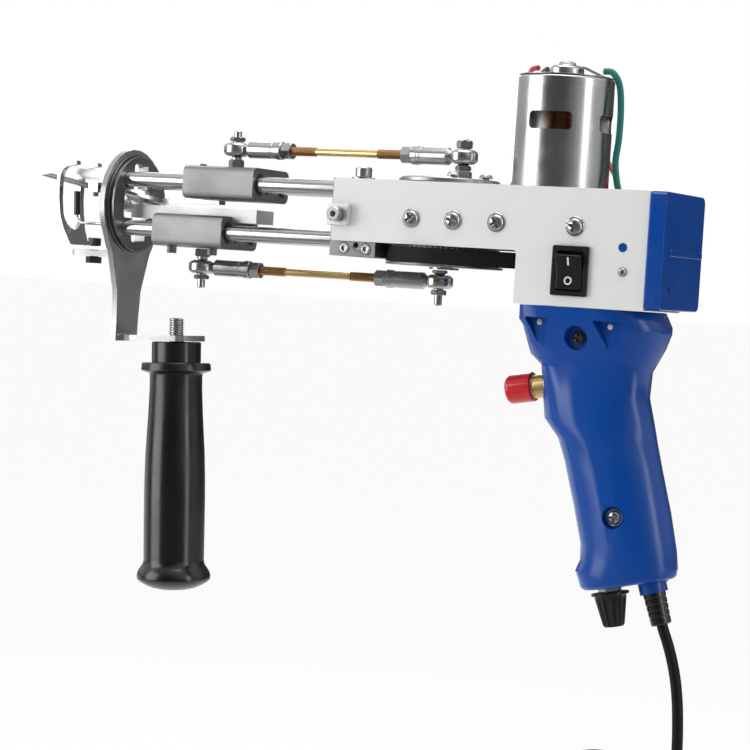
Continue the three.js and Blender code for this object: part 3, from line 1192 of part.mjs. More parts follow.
// The coil spirals in, climbs to its second layer in half a turn, and spirals out again
const coilTurns = 2 * coilSpiral + coilClimb;
const coilPoints = Array.from({ length: coilTurns * coilSteps + 1 }, (_, i) => {
  const turns = i / coilSteps;
  const climb = Math.min(Math.max((turns - coilSpiral) / coilClimb, 0), 1);
  const wound = Math.min(turns, coilSpiral) - Math.max(turns - coilSpiral - coilClimb, 0);
  const radius = coil.radius - wound * coil.pitch - coil.dip * Math.sin(climb * Math.PI);
  const turn = turns * 2 * Math.PI;
  return new THREE.Vector3(coil.x + radius * Math.cos(turn), climb * coil.layer,
    coil.z - radius * Math.sin(turn));
});
let leastGap = coil.radius;
coilPoints.forEach((point, i) => {
  coilPoints.slice(i + coilSteps / 2).forEach((other) => {
    leastGap = Math.min(leastGap, point.distanceTo(other) - 2 * cordRadius);
  });
});
console.log("least gap of the coil to itself: " + leastGap.toFixed(2) + " mm");
const coilEnd = coilPoints[coilPoints.length - 1];
const tailEnd = coilEnd.clone().add(new THREE.Vector3(0, 0, -coil.tail));
piece(machine, "cord_coil", tube([coilHead, ...coilPoints, tailEnd], cordRadius, coilSides), blackRubber);
const plugTop = tailEnd.z - gap;
const plugStart = plugTop - plug.neckLength;
const plugEnd = plugStart - plug.length;
const plugSolid = cut(
  turned([
    [0, plugEnd - plug.barrelLength], [plug.barrel, plugEnd - plug.barrelLength], [plug.barrel, plugEnd],
    [plug.radius - plug.edge, plugEnd],
    [plug.radius, plugEnd + plug.edge], [plug.radius, plugStart - plug.edge], [plug.neck, plugStart],
    [plug.neck, plugTop], [0, plugTop],
  ], smallSides),
  cylinder(plug.bore, plugEnd - plug.barrelLength - overrun, plugEnd, tinySides),
);
piece(machine, "cord_plug", moved(plugSolid, tailEnd.x, tailEnd.y), blackPlastic);

export default part;
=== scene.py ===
"""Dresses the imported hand-held tufting machine and sets it up for its product picture.

New pieces are drawn in millimetres in the machine's own frame, whose origin lies on the motor's axis
at the height of the lower connecting rod, and are set into the row frame when they are finished.
"""

import json
import math

import bpy
from bpy.props import FloatProperty, FloatVectorProperty, PointerProperty
from bpy.types import Operator, Panel, PropertyGroup
from mathutils import Matrix, Vector


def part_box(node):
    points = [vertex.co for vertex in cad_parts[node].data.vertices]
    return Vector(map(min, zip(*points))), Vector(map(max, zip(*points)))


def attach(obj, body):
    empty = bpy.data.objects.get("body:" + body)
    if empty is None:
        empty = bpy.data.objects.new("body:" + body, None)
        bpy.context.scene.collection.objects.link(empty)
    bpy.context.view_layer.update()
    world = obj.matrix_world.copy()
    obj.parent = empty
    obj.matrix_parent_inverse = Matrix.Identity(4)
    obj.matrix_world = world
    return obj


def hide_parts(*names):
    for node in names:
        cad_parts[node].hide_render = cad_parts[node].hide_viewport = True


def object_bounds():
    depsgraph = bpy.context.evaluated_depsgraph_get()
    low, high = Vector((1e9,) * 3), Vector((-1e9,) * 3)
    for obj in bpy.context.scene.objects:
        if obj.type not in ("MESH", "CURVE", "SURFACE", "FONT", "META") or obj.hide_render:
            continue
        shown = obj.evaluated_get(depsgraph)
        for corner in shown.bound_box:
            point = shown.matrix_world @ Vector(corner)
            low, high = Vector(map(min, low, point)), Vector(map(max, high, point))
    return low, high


bl_info = {
    "name": "Tufting machine looks",
    "version": (1, 0, 0),
    "blender": (4, 5, 0),
    "location": "3D View > Sidebar > Tufting",
    "description": "Builds the visible surfaces of a hand-held tufting machine around its CAD frame",
    "category": "Object",
}

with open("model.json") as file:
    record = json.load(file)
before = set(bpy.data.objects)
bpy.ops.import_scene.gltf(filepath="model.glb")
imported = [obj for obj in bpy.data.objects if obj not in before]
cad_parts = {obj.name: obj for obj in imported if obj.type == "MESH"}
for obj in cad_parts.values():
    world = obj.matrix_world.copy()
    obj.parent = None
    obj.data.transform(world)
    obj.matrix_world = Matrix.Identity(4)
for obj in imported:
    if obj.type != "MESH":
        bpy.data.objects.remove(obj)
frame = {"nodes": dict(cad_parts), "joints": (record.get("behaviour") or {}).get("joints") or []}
cad_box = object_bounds()

# The machine's own frame, in millimetres
MM = 0.001
JOINTS = {joint["name"]: joint for joint in frame["joints"]}
MACHINE = Matrix.Translation(JOINTS["motor_spin"]["pos_m"]) @ Matrix.Scale(MM, 4)
ALONG_X = Matrix.Rotation(math.pi / 2, 4, "Y")
ALONG_Y = Matrix.Rotation(-math.pi / 2, 4, "X")
TOWARDS_CAMERA = Matrix.Rotation(math.pi / 2, 4, "X")
UPSIDE_DOWN = Matrix.Rotation(math.pi, 4, "X")

# Fineness: sides of large, middling and small round pieces
FINE, ROUND, SMALL = 96, 48, 24
SMOOTH_ANGLE = math.radians(32)
WELD = 0.001


def spot(joint):
    """Where a joint lies, in the machine's frame."""
    return MACHINE.inverted() @ Vector(JOINTS[joint]["pos_m"])


def corners(node):
    """The two corners of a CAD node's box, in the machine's frame."""
    return [MACHINE.inverted() @ Vector(corner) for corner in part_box(node)]


def at(x=0.0, y=0.0, z=0.0):
    """A move in the machine's frame."""
    return Matrix.Translation((x, y, z))


def about_y(degrees):
    """A turn about Y that tips +X down for positive degrees."""
    return Matrix.Rotation(math.radians(degrees), 4, "Y")


def about_z(turn):
    """A turn about Z in radians."""
    return Matrix.Rotation(turn, 4, "Z")


# Selecting


def clear_selection():
    """Object mode with nothing selected."""
    if bpy.context.mode != "OBJECT":
        bpy.ops.object.mode_set(mode="OBJECT")
    bpy.ops.object.select_all(action="DESELECT")


def only(piece):
    """Object mode with one piece selected and active."""
    clear_selection()
    piece.select_set(True)
    bpy.context.view_layer.objects.active = piece


def edit_all(piece):
    """Edit mode with all of one piece selected."""
    only(piece)
    bpy.ops.object.mode_set(mode="EDIT")
    bpy.ops.mesh.select_all(action="SELECT")


def tidy_faces(piece):
    """Doubles merged and faces turned outwards."""
    edit_all(piece)
    bpy.ops.mesh.remove_doubles(threshold=WELD)
    bpy.ops.mesh.normals_make_consistent(inside=False)
    bpy.ops.object.mode_set(mode="OBJECT")


def discard(piece):
    """An object taken away with its mesh."""
    mesh = piece.data
    bpy.data.objects.remove(piece)
    bpy.data.meshes.remove(mesh)


def apply_modifier(piece, kind, **settings):
    """A modifier put on a piece with settings, and applied."""
    only(piece)
    made = piece.modifiers.new(kind.lower(), kind)
    for name, value in settings.items():
        setattr(made, name, value)
    bpy.ops.object.modifier_apply(modifier=made.name)
    return piece


# Modelling


def lathe(profile, sides=ROUND):
    """A closed solid from a profile of (radius, height) points, drawn with one vertex and spun about Z."""
    clear_selection()
    bpy.ops.mesh.primitive_plane_add(size=1)
    piece = bpy.context.object
    bpy.ops.object.mode_set(mode="EDIT")
    bpy.ops.mesh.merge(type="CENTER")
    radius, height = profile[0]
    bpy.ops.transform.translate(value=(radius, 0, height))
    for next_radius, next_height in profile[1:]:
        step = (next_radius - radius, 0, next_height - height)
        bpy.ops.mesh.extrude_vertices_move(TRANSFORM_OT_translate={"value": step})
        radius, height = next_radius, next_height
    bpy.ops.mesh.select_all(action="SELECT")
    bpy.ops.mesh.spin(steps=sides, angle=math.tau, center=(0, 0, 0), axis=(0, 0, 1))
    tidy_faces(piece)
    return piece


def ring_profile(inner, outer, low, high):
    """The closed profile of a plain ring."""
    return [(inner, low), (outer, low), (outer, high), (inner, high), (inner, low)]


def rod_profile(radius, low, high, chamfer=0.0):
    """The profile of a plain round bar with chamfered ends."""
    if not chamfer:
        return [(0, low), (radius, low), (radius, high), (0, high)]
    ends = [(0, low), (radius - chamfer, low), (radius, low + chamfer)]
    return ends + [(radius, high - chamfer), (radius - chamfer, high), (0, high)]


def thread_profile(radius, depth, pitch, low, high):
    """The profile of a threaded stretch as close rings."""
    turns = max(1, round((high - low) / pitch))
    step = (high - low) / turns
    points = [(0, low), (radius - depth, low)]
    for turn in range(turns):
        start = low + turn * step
        for reach, share in ((radius, 0.38), (radius, 0.62), (radius - depth, 1)):
            points.append((reach, start + step * share))
    return points + [(0, high)]


def block(x0, x1, y0, y1, z0, z1):
    """A box between two corners."""
    clear_selection()
    bpy.ops.mesh.primitive_cube_add(size=1, location=((x0 + x1) / 2, (y0 + y1) / 2, (z0 + z1) / 2))
    piece = bpy.context.object
    piece.scale = (x1 - x0, y1 - y0, z1 - z0)
    bpy.ops.object.transform_apply(location=True, rotation=True, scale=True)
    return piece


def plate(outline, low, high):
    """An outline of (x, y) points drawn along Z."""
    clear_selection()
    bpy.ops.mesh.primitive_circle_add(vertices=len(outline), radius=1, fill_type="NGON")
    piece = bpy.context.object
    for vertex, (x, y) in zip(piece.data.vertices, outline):
        vertex.co = (x, y, low)
    edit_all(piece)
    bpy.ops.mesh.extrude_region_move(TRANSFORM_OT_translate={"value": (0, 0, high - low)})
    tidy_faces(piece)
    return piece


def plate_x(outline, front, rear):
    """An outline of (y, z) points drawn along X."""
    return turned_by(plate(outline, front, rear), about_z(math.pi / 2) @ TOWARDS_CAMERA)


def prism(flats, low, high, chamfer=0.4):
    """A hexagon bar, such as a nut, whose corners are turned down at both ends."""
    clear_selection()
    face, corner = flats / 2, flats / math.sqrt(3)
    middle = (0, 0, (low + high) / 2)
    bpy.ops.mesh.primitive_cylinder_add(vertices=6, radius=corner, depth=high - low, location=middle)
    piece = bpy.context.object
    bpy.ops.object.transform_apply(location=True, rotation=False, scale=False)
    profile = [(0, low), (face, low), (corner, low + chamfer)]
    profile += [(corner, high - chamfer), (face, high), (0, high)]
    return carve(piece, lathe(profile), operation="INTERSECT")


def turned_by(piece, matrix):
    """A piece whose mesh is moved or turned."""
    piece.data.transform(matrix)
    if matrix.determinant() < 0:
        piece.data.flip_normals()
    piece.data.update()
    return piece


def carve(piece, *tools, operation="DIFFERENCE"):
    """A piece cut by, joined to or shared with tools, which are used up."""
    for tool in tools:
        apply_modifier(piece, "BOOLEAN", operation=operation, solver="EXACT", object=tool)
        discard(tool)
    return piece


def unite(piece, *others):
    """Pieces joined into one closed solid."""
    return carve(piece, *others, operation="UNION")


def ease_edges(piece, width, segments=2, angle=30):
    """Sharp edges bevelled, where they meet at more than an angle in degrees."""
    limits = {"limit_method": "ANGLE", "angle_limit": math.radians(angle), "use_clamp_overlap": True}
    return apply_modifier(piece, "BEVEL", width=width, segments=segments, **limits)


def bevel_where(piece, chosen, width, segments):
    """The edges that a test on their two ends chooses, bevelled."""
    settings = bpy.context.tool_settings
    only(piece)
    settings.mesh_select_mode = (False, True, False)
    bpy.ops.object.mode_set(mode="EDIT")
    bpy.ops.mesh.select_all(action="DESELECT")
    bpy.ops.object.mode_set(mode="OBJECT")
    points = piece.data.vertices
    for edge in piece.data.edges:
        edge.select = chosen(*(points[end].co for end in edge.vertices))
    bpy.ops.object.mode_set(mode="EDIT")
    bpy.ops.mesh.bevel(offset=width, segments=segments, affect="EDGES")
    bpy.ops.object.mode_set(mode="OBJECT")
    settings.mesh_select_mode = (True, False, False)
    return piece


def copy_of(source, name, matrix):
    """A copy of an object, with its own mesh, moved by a matrix."""
    made = bpy.data.objects.new(name, source.data.copy())
    bpy.context.scene.collection.objects.link(made)
    return turned_by(made, matrix)


def cad_copy(node, flat=0.4):
    """A copy of a CAD node in the machine's frame, its triangles merged into whole faces."""
    made = copy_of(frame["nodes"][node], node, MACHINE.inverted())
    made.data.materials.clear()
    edit_all(made)
    bpy.ops.mesh.remove_doubles(threshold=WELD * 5)
    bpy.ops.mesh.dissolve_limited(angle_limit=math.radians(flat), use_dissolve_boundaries=False)
    bpy.ops.object.mode_set(mode="OBJECT")
    return made


def rounded(points, radius, steps=4):
    """An outline with its corners rounded by one radius or by one for each corner."""
    radii = radius if isinstance(radius, list) else [radius] * len(points)
    made = []
    for index, corner in enumerate(points):
        here = Vector(corner)
        back = (Vector(points[index - 1]) - here).normalized()
        ahead = (Vector(points[(index + 1) % len(points)]) - here).normalized()
        half = math.acos(max(-1, min(1, back.dot(ahead)))) / 2
        reach = radii[index] / math.tan(half)
        middle = here + (back + ahead).normalized() * (radii[index] / math.sin(half))
        start = here + back * reach - middle
        end = here + ahead * reach - middle
        sweep = math.atan2(start.cross(end), start.dot(end))
        for step in range(steps + 1):
            spoke = start.copy()
            spoke.rotate(Matrix.Rotation(sweep * step / steps, 2))
            made.append(tuple(middle + spoke))
    return made


def rectangle(x0, x1, y0, y1):
    """The four corners of a rectangle."""
    return [(x0, y0), (x1, y0), (x1, y1), (x0, y1)]


def smooth_line(points, steps):
    """A smooth line through points, with a number of steps between each two."""
    made = []
    vectors = [Vector(point) for point in points]
    for index in range(len(vectors) - 1):
        before = vectors[max(index - 1, 0)]
        start, end = vectors[index], vectors[index + 1]
        after = vectors[min(index + 2, len(vectors) - 1)]
        slope, bend = end - before, 2 * before - 5 * start + 4 * end - after
        twist = 3 * start - before - 3 * end + after
        for share in (step / steps for step in range(steps)):
            made.append(0.5 * (2 * start + slope * share + bend * (share * share) + twist * share**3))
    return made + [vectors[-1]]


def skin(rings):
    """A closed solid through rings of as many points each: a grid, rolled up in code and capped."""
    rows, columns = len(rings), len(rings[0])
    clear_selection()
    bpy.ops.mesh.primitive_grid_add(x_subdivisions=columns, y_subdivisions=rows - 1, size=1)
    piece = bpy.context.object
    points = piece.data.vertices
    for row in range(rows):
        for column in range(columns + 1):
            points[row * (columns + 1) + column].co = rings[row][column % columns]
    edit_all(piece)
    bpy.ops.mesh.remove_doubles(threshold=WELD)
    bpy.ops.mesh.select_all(action="DESELECT")
    bpy.ops.mesh.select_non_manifold()
    bpy.ops.mesh.fill_holes(sides=0)
    tidy_faces(piece)
    return piece


def wire(points, radius, sides=SMALL):
    """A round solid wire along points, swept as rings that turn with it."""
    rings = []
    across = Vector((0, 1, 0))
    for index, point in enumerate(points):
        ahead = (points[min(index + 1, len(points) - 1)] - points[max(index - 1, 0)]).normalized()
        side = across.cross(ahead).normalized()
        across = ahead.cross(side).normalized()
        turns = [math.tau * k / sides for k in range(sides)]
        rings.append([point + radius * (math.cos(turn) * side + math.sin(turn) * across) for turn in turns])
    return skin(rings)


def finish(piece, name, material, body, *nodes):
    """A drawn piece set into the row frame, given its finish, and put on its body in place of CAD nodes."""
    only(piece)
    piece.data.transform(MACHINE)
    bpy.ops.object.shade_smooth_by_angle(angle=SMOOTH_ANGLE)
    apply_modifier(piece, "WEIGHTED_NORMAL", keep_sharp=True)
    piece.name = piece.data.name = name
    piece.data.materials.clear()
    piece.data.materials.append(materials[material])
    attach(piece, body)
    if nodes:
        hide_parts(*nodes)
    return piece


def finish_copies(pattern, material, rows):
    """A pattern piece copied and finished once for each row of a name, a place, a body and CAD nodes."""
    for name, place, *rest in rows:
        finish(copy_of(pattern, name, place), name, material, *rest)
    discard(pattern)


# Materials

EVEN = (1, 1, 1)
METAL = {"Metallic": 1.0}
# Each finish: its slot, first and second colour, roughness and its spread, how its grain is stretched,
# the grain's fineness per metre and bump in millimetres, how much handling dulls and darkens it,
# and the shader's own values.
FINISHES = {
    "white_paint": (
        "white_paint", (0.80, 0.80, 0.79), (0.77, 0.77, 0.765),
        (0.42, 0.12), EVEN, 2600, 0.012, (0.10, 0.05), {"Specular IOR Level": 0.35},
    ),
    "cast_aluminium": (
        "aluminium", (0.30, 0.30, 0.31), (0.22, 0.22, 0.23),
        (0.42, 0.16), EVEN, 3200, 0.03, (0.12, 0.35), {"Metallic": 0.85},
    ),
    "brushed_aluminium": (
        "aluminium", (0.28, 0.28, 0.285), (0.235, 0.235, 0.24),
        (0.42, 0.12), (0.05, 1, 1), 5200, 0.01, (0.10, 0.25), METAL,
    ),
    "ground_steel": (
        "steel", (0.66, 0.66, 0.67), (0.38, 0.38, 0.39),
        (0.16, 0.1), (0.02, 1, 1), 1500, 0.004, (0.12, 0.3), METAL,
    ),
    "brushed_plate": (
        "steel", (0.46, 0.46, 0.47), (0.36, 0.36, 0.37),
        (0.36, 0.14), (1, 0.05, 1), 4200, 0.008, (0.14, 0.3), METAL,
    ),
    "satin_steel": (
        "steel", (0.74, 0.74, 0.73), (0.64, 0.64, 0.635),
        (0.5, 0.12), (0.05, 1, 1), 4200, 0.006, (0.1, 0.2), {"Metallic": 0.8},
    ),
    "zinc_plate": (
        "steel", (0.56, 0.56, 0.56), (0.45, 0.45, 0.46),
        (0.2, 0.12), EVEN, 1900, 0.006, (0.12, 0.25), METAL,
    ),
    "motor_shell": (
        "steel", (0.63, 0.63, 0.64), (0.46, 0.46, 0.47),
        (0.2, 0.14), (1, 1, 0.015), 1500, 0.004, (0.1, 0.35), METAL,
    ),
    "blackened_steel": (
        "dark_steel", (0.075, 0.075, 0.078), (0.045, 0.045, 0.048),
        (0.34, 0.14), EVEN, 2400, 0.008, (0.14, 0.2), {"Metallic": 0.7},
    ),
    "polished_brass": (
        "brass", (0.78, 0.58, 0.27), (0.66, 0.46, 0.19),
        (0.2, 0.12), (0.08, 1, 1), 2600, 0.004, (0.15, 0.3), METAL,
    ),
    "threaded_brass": (
        "brass", (0.52, 0.30, 0.12), (0.36, 0.19, 0.08),
        (0.32, 0.15), EVEN, 2600, 0.004, (0.15, 0.4), METAL,
    ),
    "blue_shell": (
        "blue_plastic", (0.0, 0.06, 0.33), (0.0, 0.053, 0.29),
        (0.18, 0.07), EVEN, 3400, 0.008, (0.12, 0.12), {"Specular IOR Level": 0.4},
    ),
    "red_cap": (
        "red_plastic", (0.62, 0.008, 0.012), (0.55, 0.006, 0.01),
        (0.18, 0.06), EVEN, 1500, 0.003, (0.1, 0.12), {"Coat Weight": 0.5, "Coat Roughness": 0.1},
    ),
    "red_insulation": (
        "red_plastic", (0.5, 0.01, 0.012), (0.42, 0.008, 0.01),
        (0.34, 0.1), EVEN, 1500, 0.008, (0.1, 0.2), {},
    ),
    "green_insulation": (
        "green_plastic", (0.004, 0.19, 0.15), (0.003, 0.15, 0.12),
        (0.34, 0.1), EVEN, 1500, 0.008, (0.1, 0.2), {},
    ),
    "black_shell": (
        "black_plastic", (0.008, 0.008, 0.009), (0.005, 0.005, 0.006),
        (0.36, 0.12), EVEN, 3600, 0.012, (0.14, 0.1), {"Specular IOR Level": 0.35},
    ),
    "switch_shell": (
        "black_plastic", (0.010, 0.010, 0.011), (0.007, 0.007, 0.008),
        (0.24, 0.08), EVEN, 2600, 0.006, (0.12, 0.1), {"Specular IOR Level": 0.4},
    ),
    "black_grip": (
        "black_rubber", (0.004, 0.004, 0.0045), (0.002, 0.002, 0.0025),
        (0.22, 0.07), EVEN, 2800, 0.006, (0.08, 0.12), {"Specular IOR Level": 0.6},
    ),
    "belt_rubber": (
        "black_rubber", (0.016, 0.016, 0.017), (0.009, 0.009, 0.01),
        (0.62, 0.16), (1, 1, 0.2), 2600, 0.03, (0.12, 0.2), {"Specular IOR Level": 0.15},
    ),
    "cord_sheath": (
        "black_rubber", (0.007, 0.007, 0.008), (0.005, 0.005, 0.006),
        (0.45, 0.12), EVEN, 2600, 0.02, (0.14, 0.15), {"Specular IOR Level": 0.2},
    ),
    "copper_winding": (
        "copper", (0.42, 0.17, 0.07), (0.2, 0.08, 0.04),
        (0.35, 0.2), (1, 1, 0.1), 2600, 0.05, (0.1, 0.3), {"Metallic": 0.8},
    ),
    "white_mark": (
        "white_paint", (0.74, 0.74, 0.73), (0.66, 0.66, 0.65),
        (0.5, 0.1), EVEN, 2600, 0.004, (0.1, 0.2), {},
    ),
    # Turned marks run round an axis, so this one has no stretch.
    "turned_plate": (
        "aluminium", (0.34, 0.34, 0.35), (0.20, 0.20, 0.21),
        (0.26, 0.14), None, 2600, 0.006, (0.1, 0.3), METAL,
    ),
}
materials = {}
FLOAT, COLOUR, VECTOR = "NodeSocketFloat", "NodeSocketColor", "NodeSocketVector"
LOOK_INPUTS = {
    "Colour": (COLOUR, (0.8, 0.8, 0.8, 1)),
    "Second Colour": (COLOUR, (0.7, 0.7, 0.7, 1)),
    "Fineness": (FLOAT, 800),
    "Roughness": (FLOAT, 0.4),
    "Spread": (FLOAT, 0.1),
}
LOOK_OUTPUTS = {"Colour": COLOUR, "Roughness": FLOAT, "Height": FLOAT}


def feed(tree, node, inputs):
    """A node's inputs set to values, or joined to other nodes' outputs."""
    for label, value in inputs.items():
        if isinstance(value, bpy.types.NodeSocket):
            tree.links.new(value, node.inputs[label])
        else:
            node.inputs[label].default_value = value


def shader_node(tree, kind, inputs=None, **settings):
    """A node with attributes set by name and inputs fed by label or by place."""
    made = tree.nodes.new("ShaderNode" + kind)
    for name, value in settings.items():
        setattr(made, name, value)
    feed(tree, made, inputs or {})
    return made


def maths(tree, operation, *values):
    """The outcome of a sum on numbers and sockets."""
    return shader_node(tree, "Math", dict(enumerate(values)), operation=operation).outputs[0]


def vector_maths(tree, operation, *values):
    """The outcome of a vector sum."""
    made = shader_node(tree, "VectorMath", dict(enumerate(values)), operation=operation)
    return made.outputs["Value" if operation in ("LENGTH", "DOT_PRODUCT") else "Vector"]


def ramp(tree, value, low, high, first=0.0, last=1.0, kind="SMOOTHSTEP"):
    """A value led from one range to another."""
    ends = {"Value": value, "From Min": low, "From Max": high, "To Min": first, "To Max": last}
    return shader_node(tree, "MapRange", ends, interpolation_type=kind).outputs["Result"]


def mixed(tree, factor, first, second, blend="MIX"):
    """Two colours mixed."""
    made = shader_node(tree, "Mix", data_type="RGBA", blend_type=blend)
    feed(tree, made, {"Factor": factor, "A": first, "B": second})
    return made.outputs["Result"]


def group_with(name, inputs, outputs):
    """An empty shader node group with named sockets."""
    tree = bpy.data.node_groups.new(name, "ShaderNodeTree")
    for label, (kind, value) in inputs.items():
        tree.interface.new_socket(name=label, in_out="INPUT", socket_type=kind).default_value = value
    for label, kind in outputs.items():
        tree.interface.new_socket(name=label, in_out="OUTPUT", socket_type=kind)
    place = shader_node(tree, "TexCoord").outputs["Object"]
    return tree, tree.nodes.new("NodeGroupInput").outputs, tree.nodes.new("NodeGroupOutput"), place


def surface_grain_group():
    """Grain: colour, roughness and height that vary with noise stretched by a vector."""
    inputs = {**LOOK_INPUTS, "Stretch": (VECTOR, EVEN)}
    tree, given, out, place = group_with("Surface grain", inputs, LOOK_OUTPUTS)
    stretched = vector_maths(tree, "MULTIPLY", place, given["Stretch"])
    noise = {"Vector": stretched, "Scale": given["Fineness"], "Detail": 3.0}
    grain = shader_node(tree, "TexNoise", noise).outputs["Fac"]
    shift = maths(tree, "SUBTRACT", grain, 0.5)
    feed(tree, out, {
        "Colour": mixed(tree, grain, given["Colour"], given["Second Colour"]),
        "Roughness": maths(tree, "MULTIPLY_ADD", shift, given["Spread"], given["Roughness"]),
        "Height": grain,
    })
    return tree


def handling_marks_group():
    """Handling marks: broad smudges that dull the surface and darken it a little."""
    inputs = {label: LOOK_INPUTS[label] for label in ("Colour", "Roughness")}
    inputs |= {"Amount": (FLOAT, 0.1), "Darkening": (FLOAT, 0.1)}
    outputs = {label: LOOK_OUTPUTS[label] for label in ("Colour", "Roughness")}
    tree, given, out, place = group_with("Handling marks", inputs, outputs)
    broad = shader_node(tree, "TexNoise", {"Vector": place, "Scale": 42, "Detail": 4.0}).outputs["Fac"]
    level = ramp(tree, broad, 0.42, 0.68, kind="LINEAR")
    share = maths(tree, "MULTIPLY", level, given["Darkening"])
    feed(tree, out, {
        "Colour": mixed(tree, share, given["Colour"], (0.72, 0.71, 0.7, 1), "MULTIPLY"),
        "Roughness": maths(tree, "MULTIPLY_ADD", level, given["Amount"], given["Roughness"]),
    })
    return tree


def turned_marks_group():
    """Turned marks: the fine rings that a lathe leaves about an axis, as colour, roughness and height."""
    inputs = {**LOOK_INPUTS, "Centre": (VECTOR, (0, 0, 0)), "Across": (VECTOR, (0, 1, 1))}
    tree, given, out, place = group_with("Turned marks", inputs, LOOK_OUTPUTS)
    offset = vector_maths(tree, "SUBTRACT", place, given["Centre"])
    reach = vector_maths(tree, "LENGTH", vector_maths(tree, "MULTIPLY", offset, given["Across"]))
    rings = shader_node(tree, "TexNoise", noise_dimensions="1D")
    feed(tree, rings, {"W": reach, "Scale": given["Fineness"], "Detail": 2.0})
    grain = rings.outputs["Fac"]
    feed(tree, out, {
        "Colour": mixed(tree, grain, given["Colour"], given["Second Colour"]),
        "Roughness": maths(tree, "MULTIPLY_ADD", grain, given["Spread"], given["Roughness"]),
        "Height": grain,
    })
    return tree


def surface_material(name, grain_group, marks_group, colours=None):
    """A material whose colour, roughness and bump come from the shared groups."""
    _, first, second, (rough, spread), stretch, fineness, bump, (dulling, darkening), own = FINISHES[name]
    first, second = colours or (first, second)
    made = bpy.data.materials.new(name)
    made.use_nodes = True
    tree = made.node_tree
    grain = shader_node(tree, "Group", node_tree=grain_group)
    feed(tree, grain, {
        "Colour": (*first, 1), "Second Colour": (*second, 1),
        "Fineness": fineness, "Roughness": rough, "Spread": spread,
    })
    if stretch:
        grain.inputs["Stretch"].default_value = stretch
    else:
        low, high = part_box("nose_disc")
        grain.inputs["Centre"].default_value = [(a + b) / 2 for a, b in zip(low, high)]
    marks = shader_node(tree, "Group", node_tree=marks_group)
    given = {label: grain.outputs[label] for label in ("Colour", "Roughness")}
    feed(tree, marks, {**given, "Amount": dulling, "Darkening": darkening})
    lift = {"Height": grain.outputs["Height"], "Distance": bump * MM, "Strength": 1}
    feed(tree, tree.nodes["Principled BSDF"], {
        **own, "Base Color": marks.outputs["Colour"], "Roughness": marks.outputs["Roughness"],
        "Normal": shader_node(tree, "Bump", lift).outputs["Normal"],
    })
    return made


def make_materials(colours):
    """Every finish of the machine, with the panel's own colours put in."""
    grain, marks, turned = surface_grain_group(), handling_marks_group(), turned_marks_group()
    for name in FINISHES:
        chosen = colours.get(name)
        pair = chosen and (tuple(chosen), tuple(0.88 * share for share in chosen))
        materials[name] = surface_material(name, turned if name == "turned_plate" else grain, marks, pair)


# What may be set in the panel


class TuftingSizes(PropertyGroup):
    """Sizes of the finishing details."""

    plate_edge: FloatProperty(
        name="Plate edge", description="Rounding of cut metal edges",
        default=0.25 * MM, unit="LENGTH", precision=5,
    )
    block_edge: FloatProperty(
        name="Block edge", description="Rounding of milled block edges",
        default=0.4 * MM, unit="LENGTH", precision=5,
    )
    moulded_edge: FloatProperty(
        name="Moulded edge", description="Rounding of moulded plastic edges",
        default=0.7 * MM, unit="LENGTH", precision=5,
    )
    cord_length: FloatProperty(
        name="Cord length", description="Real length of the cord",
        default=1.44, unit="LENGTH",
    )
    cord_radius: FloatProperty(
        name="Cord radius", description="Radius of the cord's sheath",
        default=2.7 * MM, unit="LENGTH", precision=5,
    )


class TuftingColours(PropertyGroup):
    """Colours of the painted and moulded pieces."""

    white_paint: FloatVectorProperty(
        name="Paint", description="Colour of the painted housing",
        subtype="COLOR", default=(0.80, 0.80, 0.79),
    )
    blue_shell: FloatVectorProperty(
        name="Shell", description="Colour of the grip and the rear cap",
        subtype="COLOR", default=(0.0, 0.06, 0.33),
    )
    red_cap: FloatVectorProperty(
        name="Trigger", description="Colour of the trigger",
        subtype="COLOR", default=(0.62, 0.008, 0.012),
    )


def edge(kind):
    """One of the panel's edge sizes, in millimetres."""
    return getattr(bpy.context.scene.tufting_sizes, kind) / MM


# Stage

# The camera was rebuilt from the housing's edges: its place in millimetres, and its turns in degrees.
PICTURE = {"lens": 114.43, "at": (412.8, -1081.2, 80), "azimuth": 26.7, "pitch": 2.33, "roll": 3.6}
# Soft boxes: place, target, width and height in millimetres, and power in watts
LAMPS = {
    "key_lamp": ((-964, -758, 180), (-60, 0, 0), (740, 900), 7.9),
    "fill_lamp": ((1080, -240, 120), (0, 0, -20), (260, 900), 2.4),
    "top_lamp": ((-80, -60, 900), (-80, 0, 40), (700, 700), 4.6),
    "rear_lamp": ((-560, 620, 300), (-140, 0, 30), (420, 420), 1.8),
}
WHITE = (1, 1, 1, 1)
FLOOR_SIZE, FLOOR_DROP = 60, 0.012


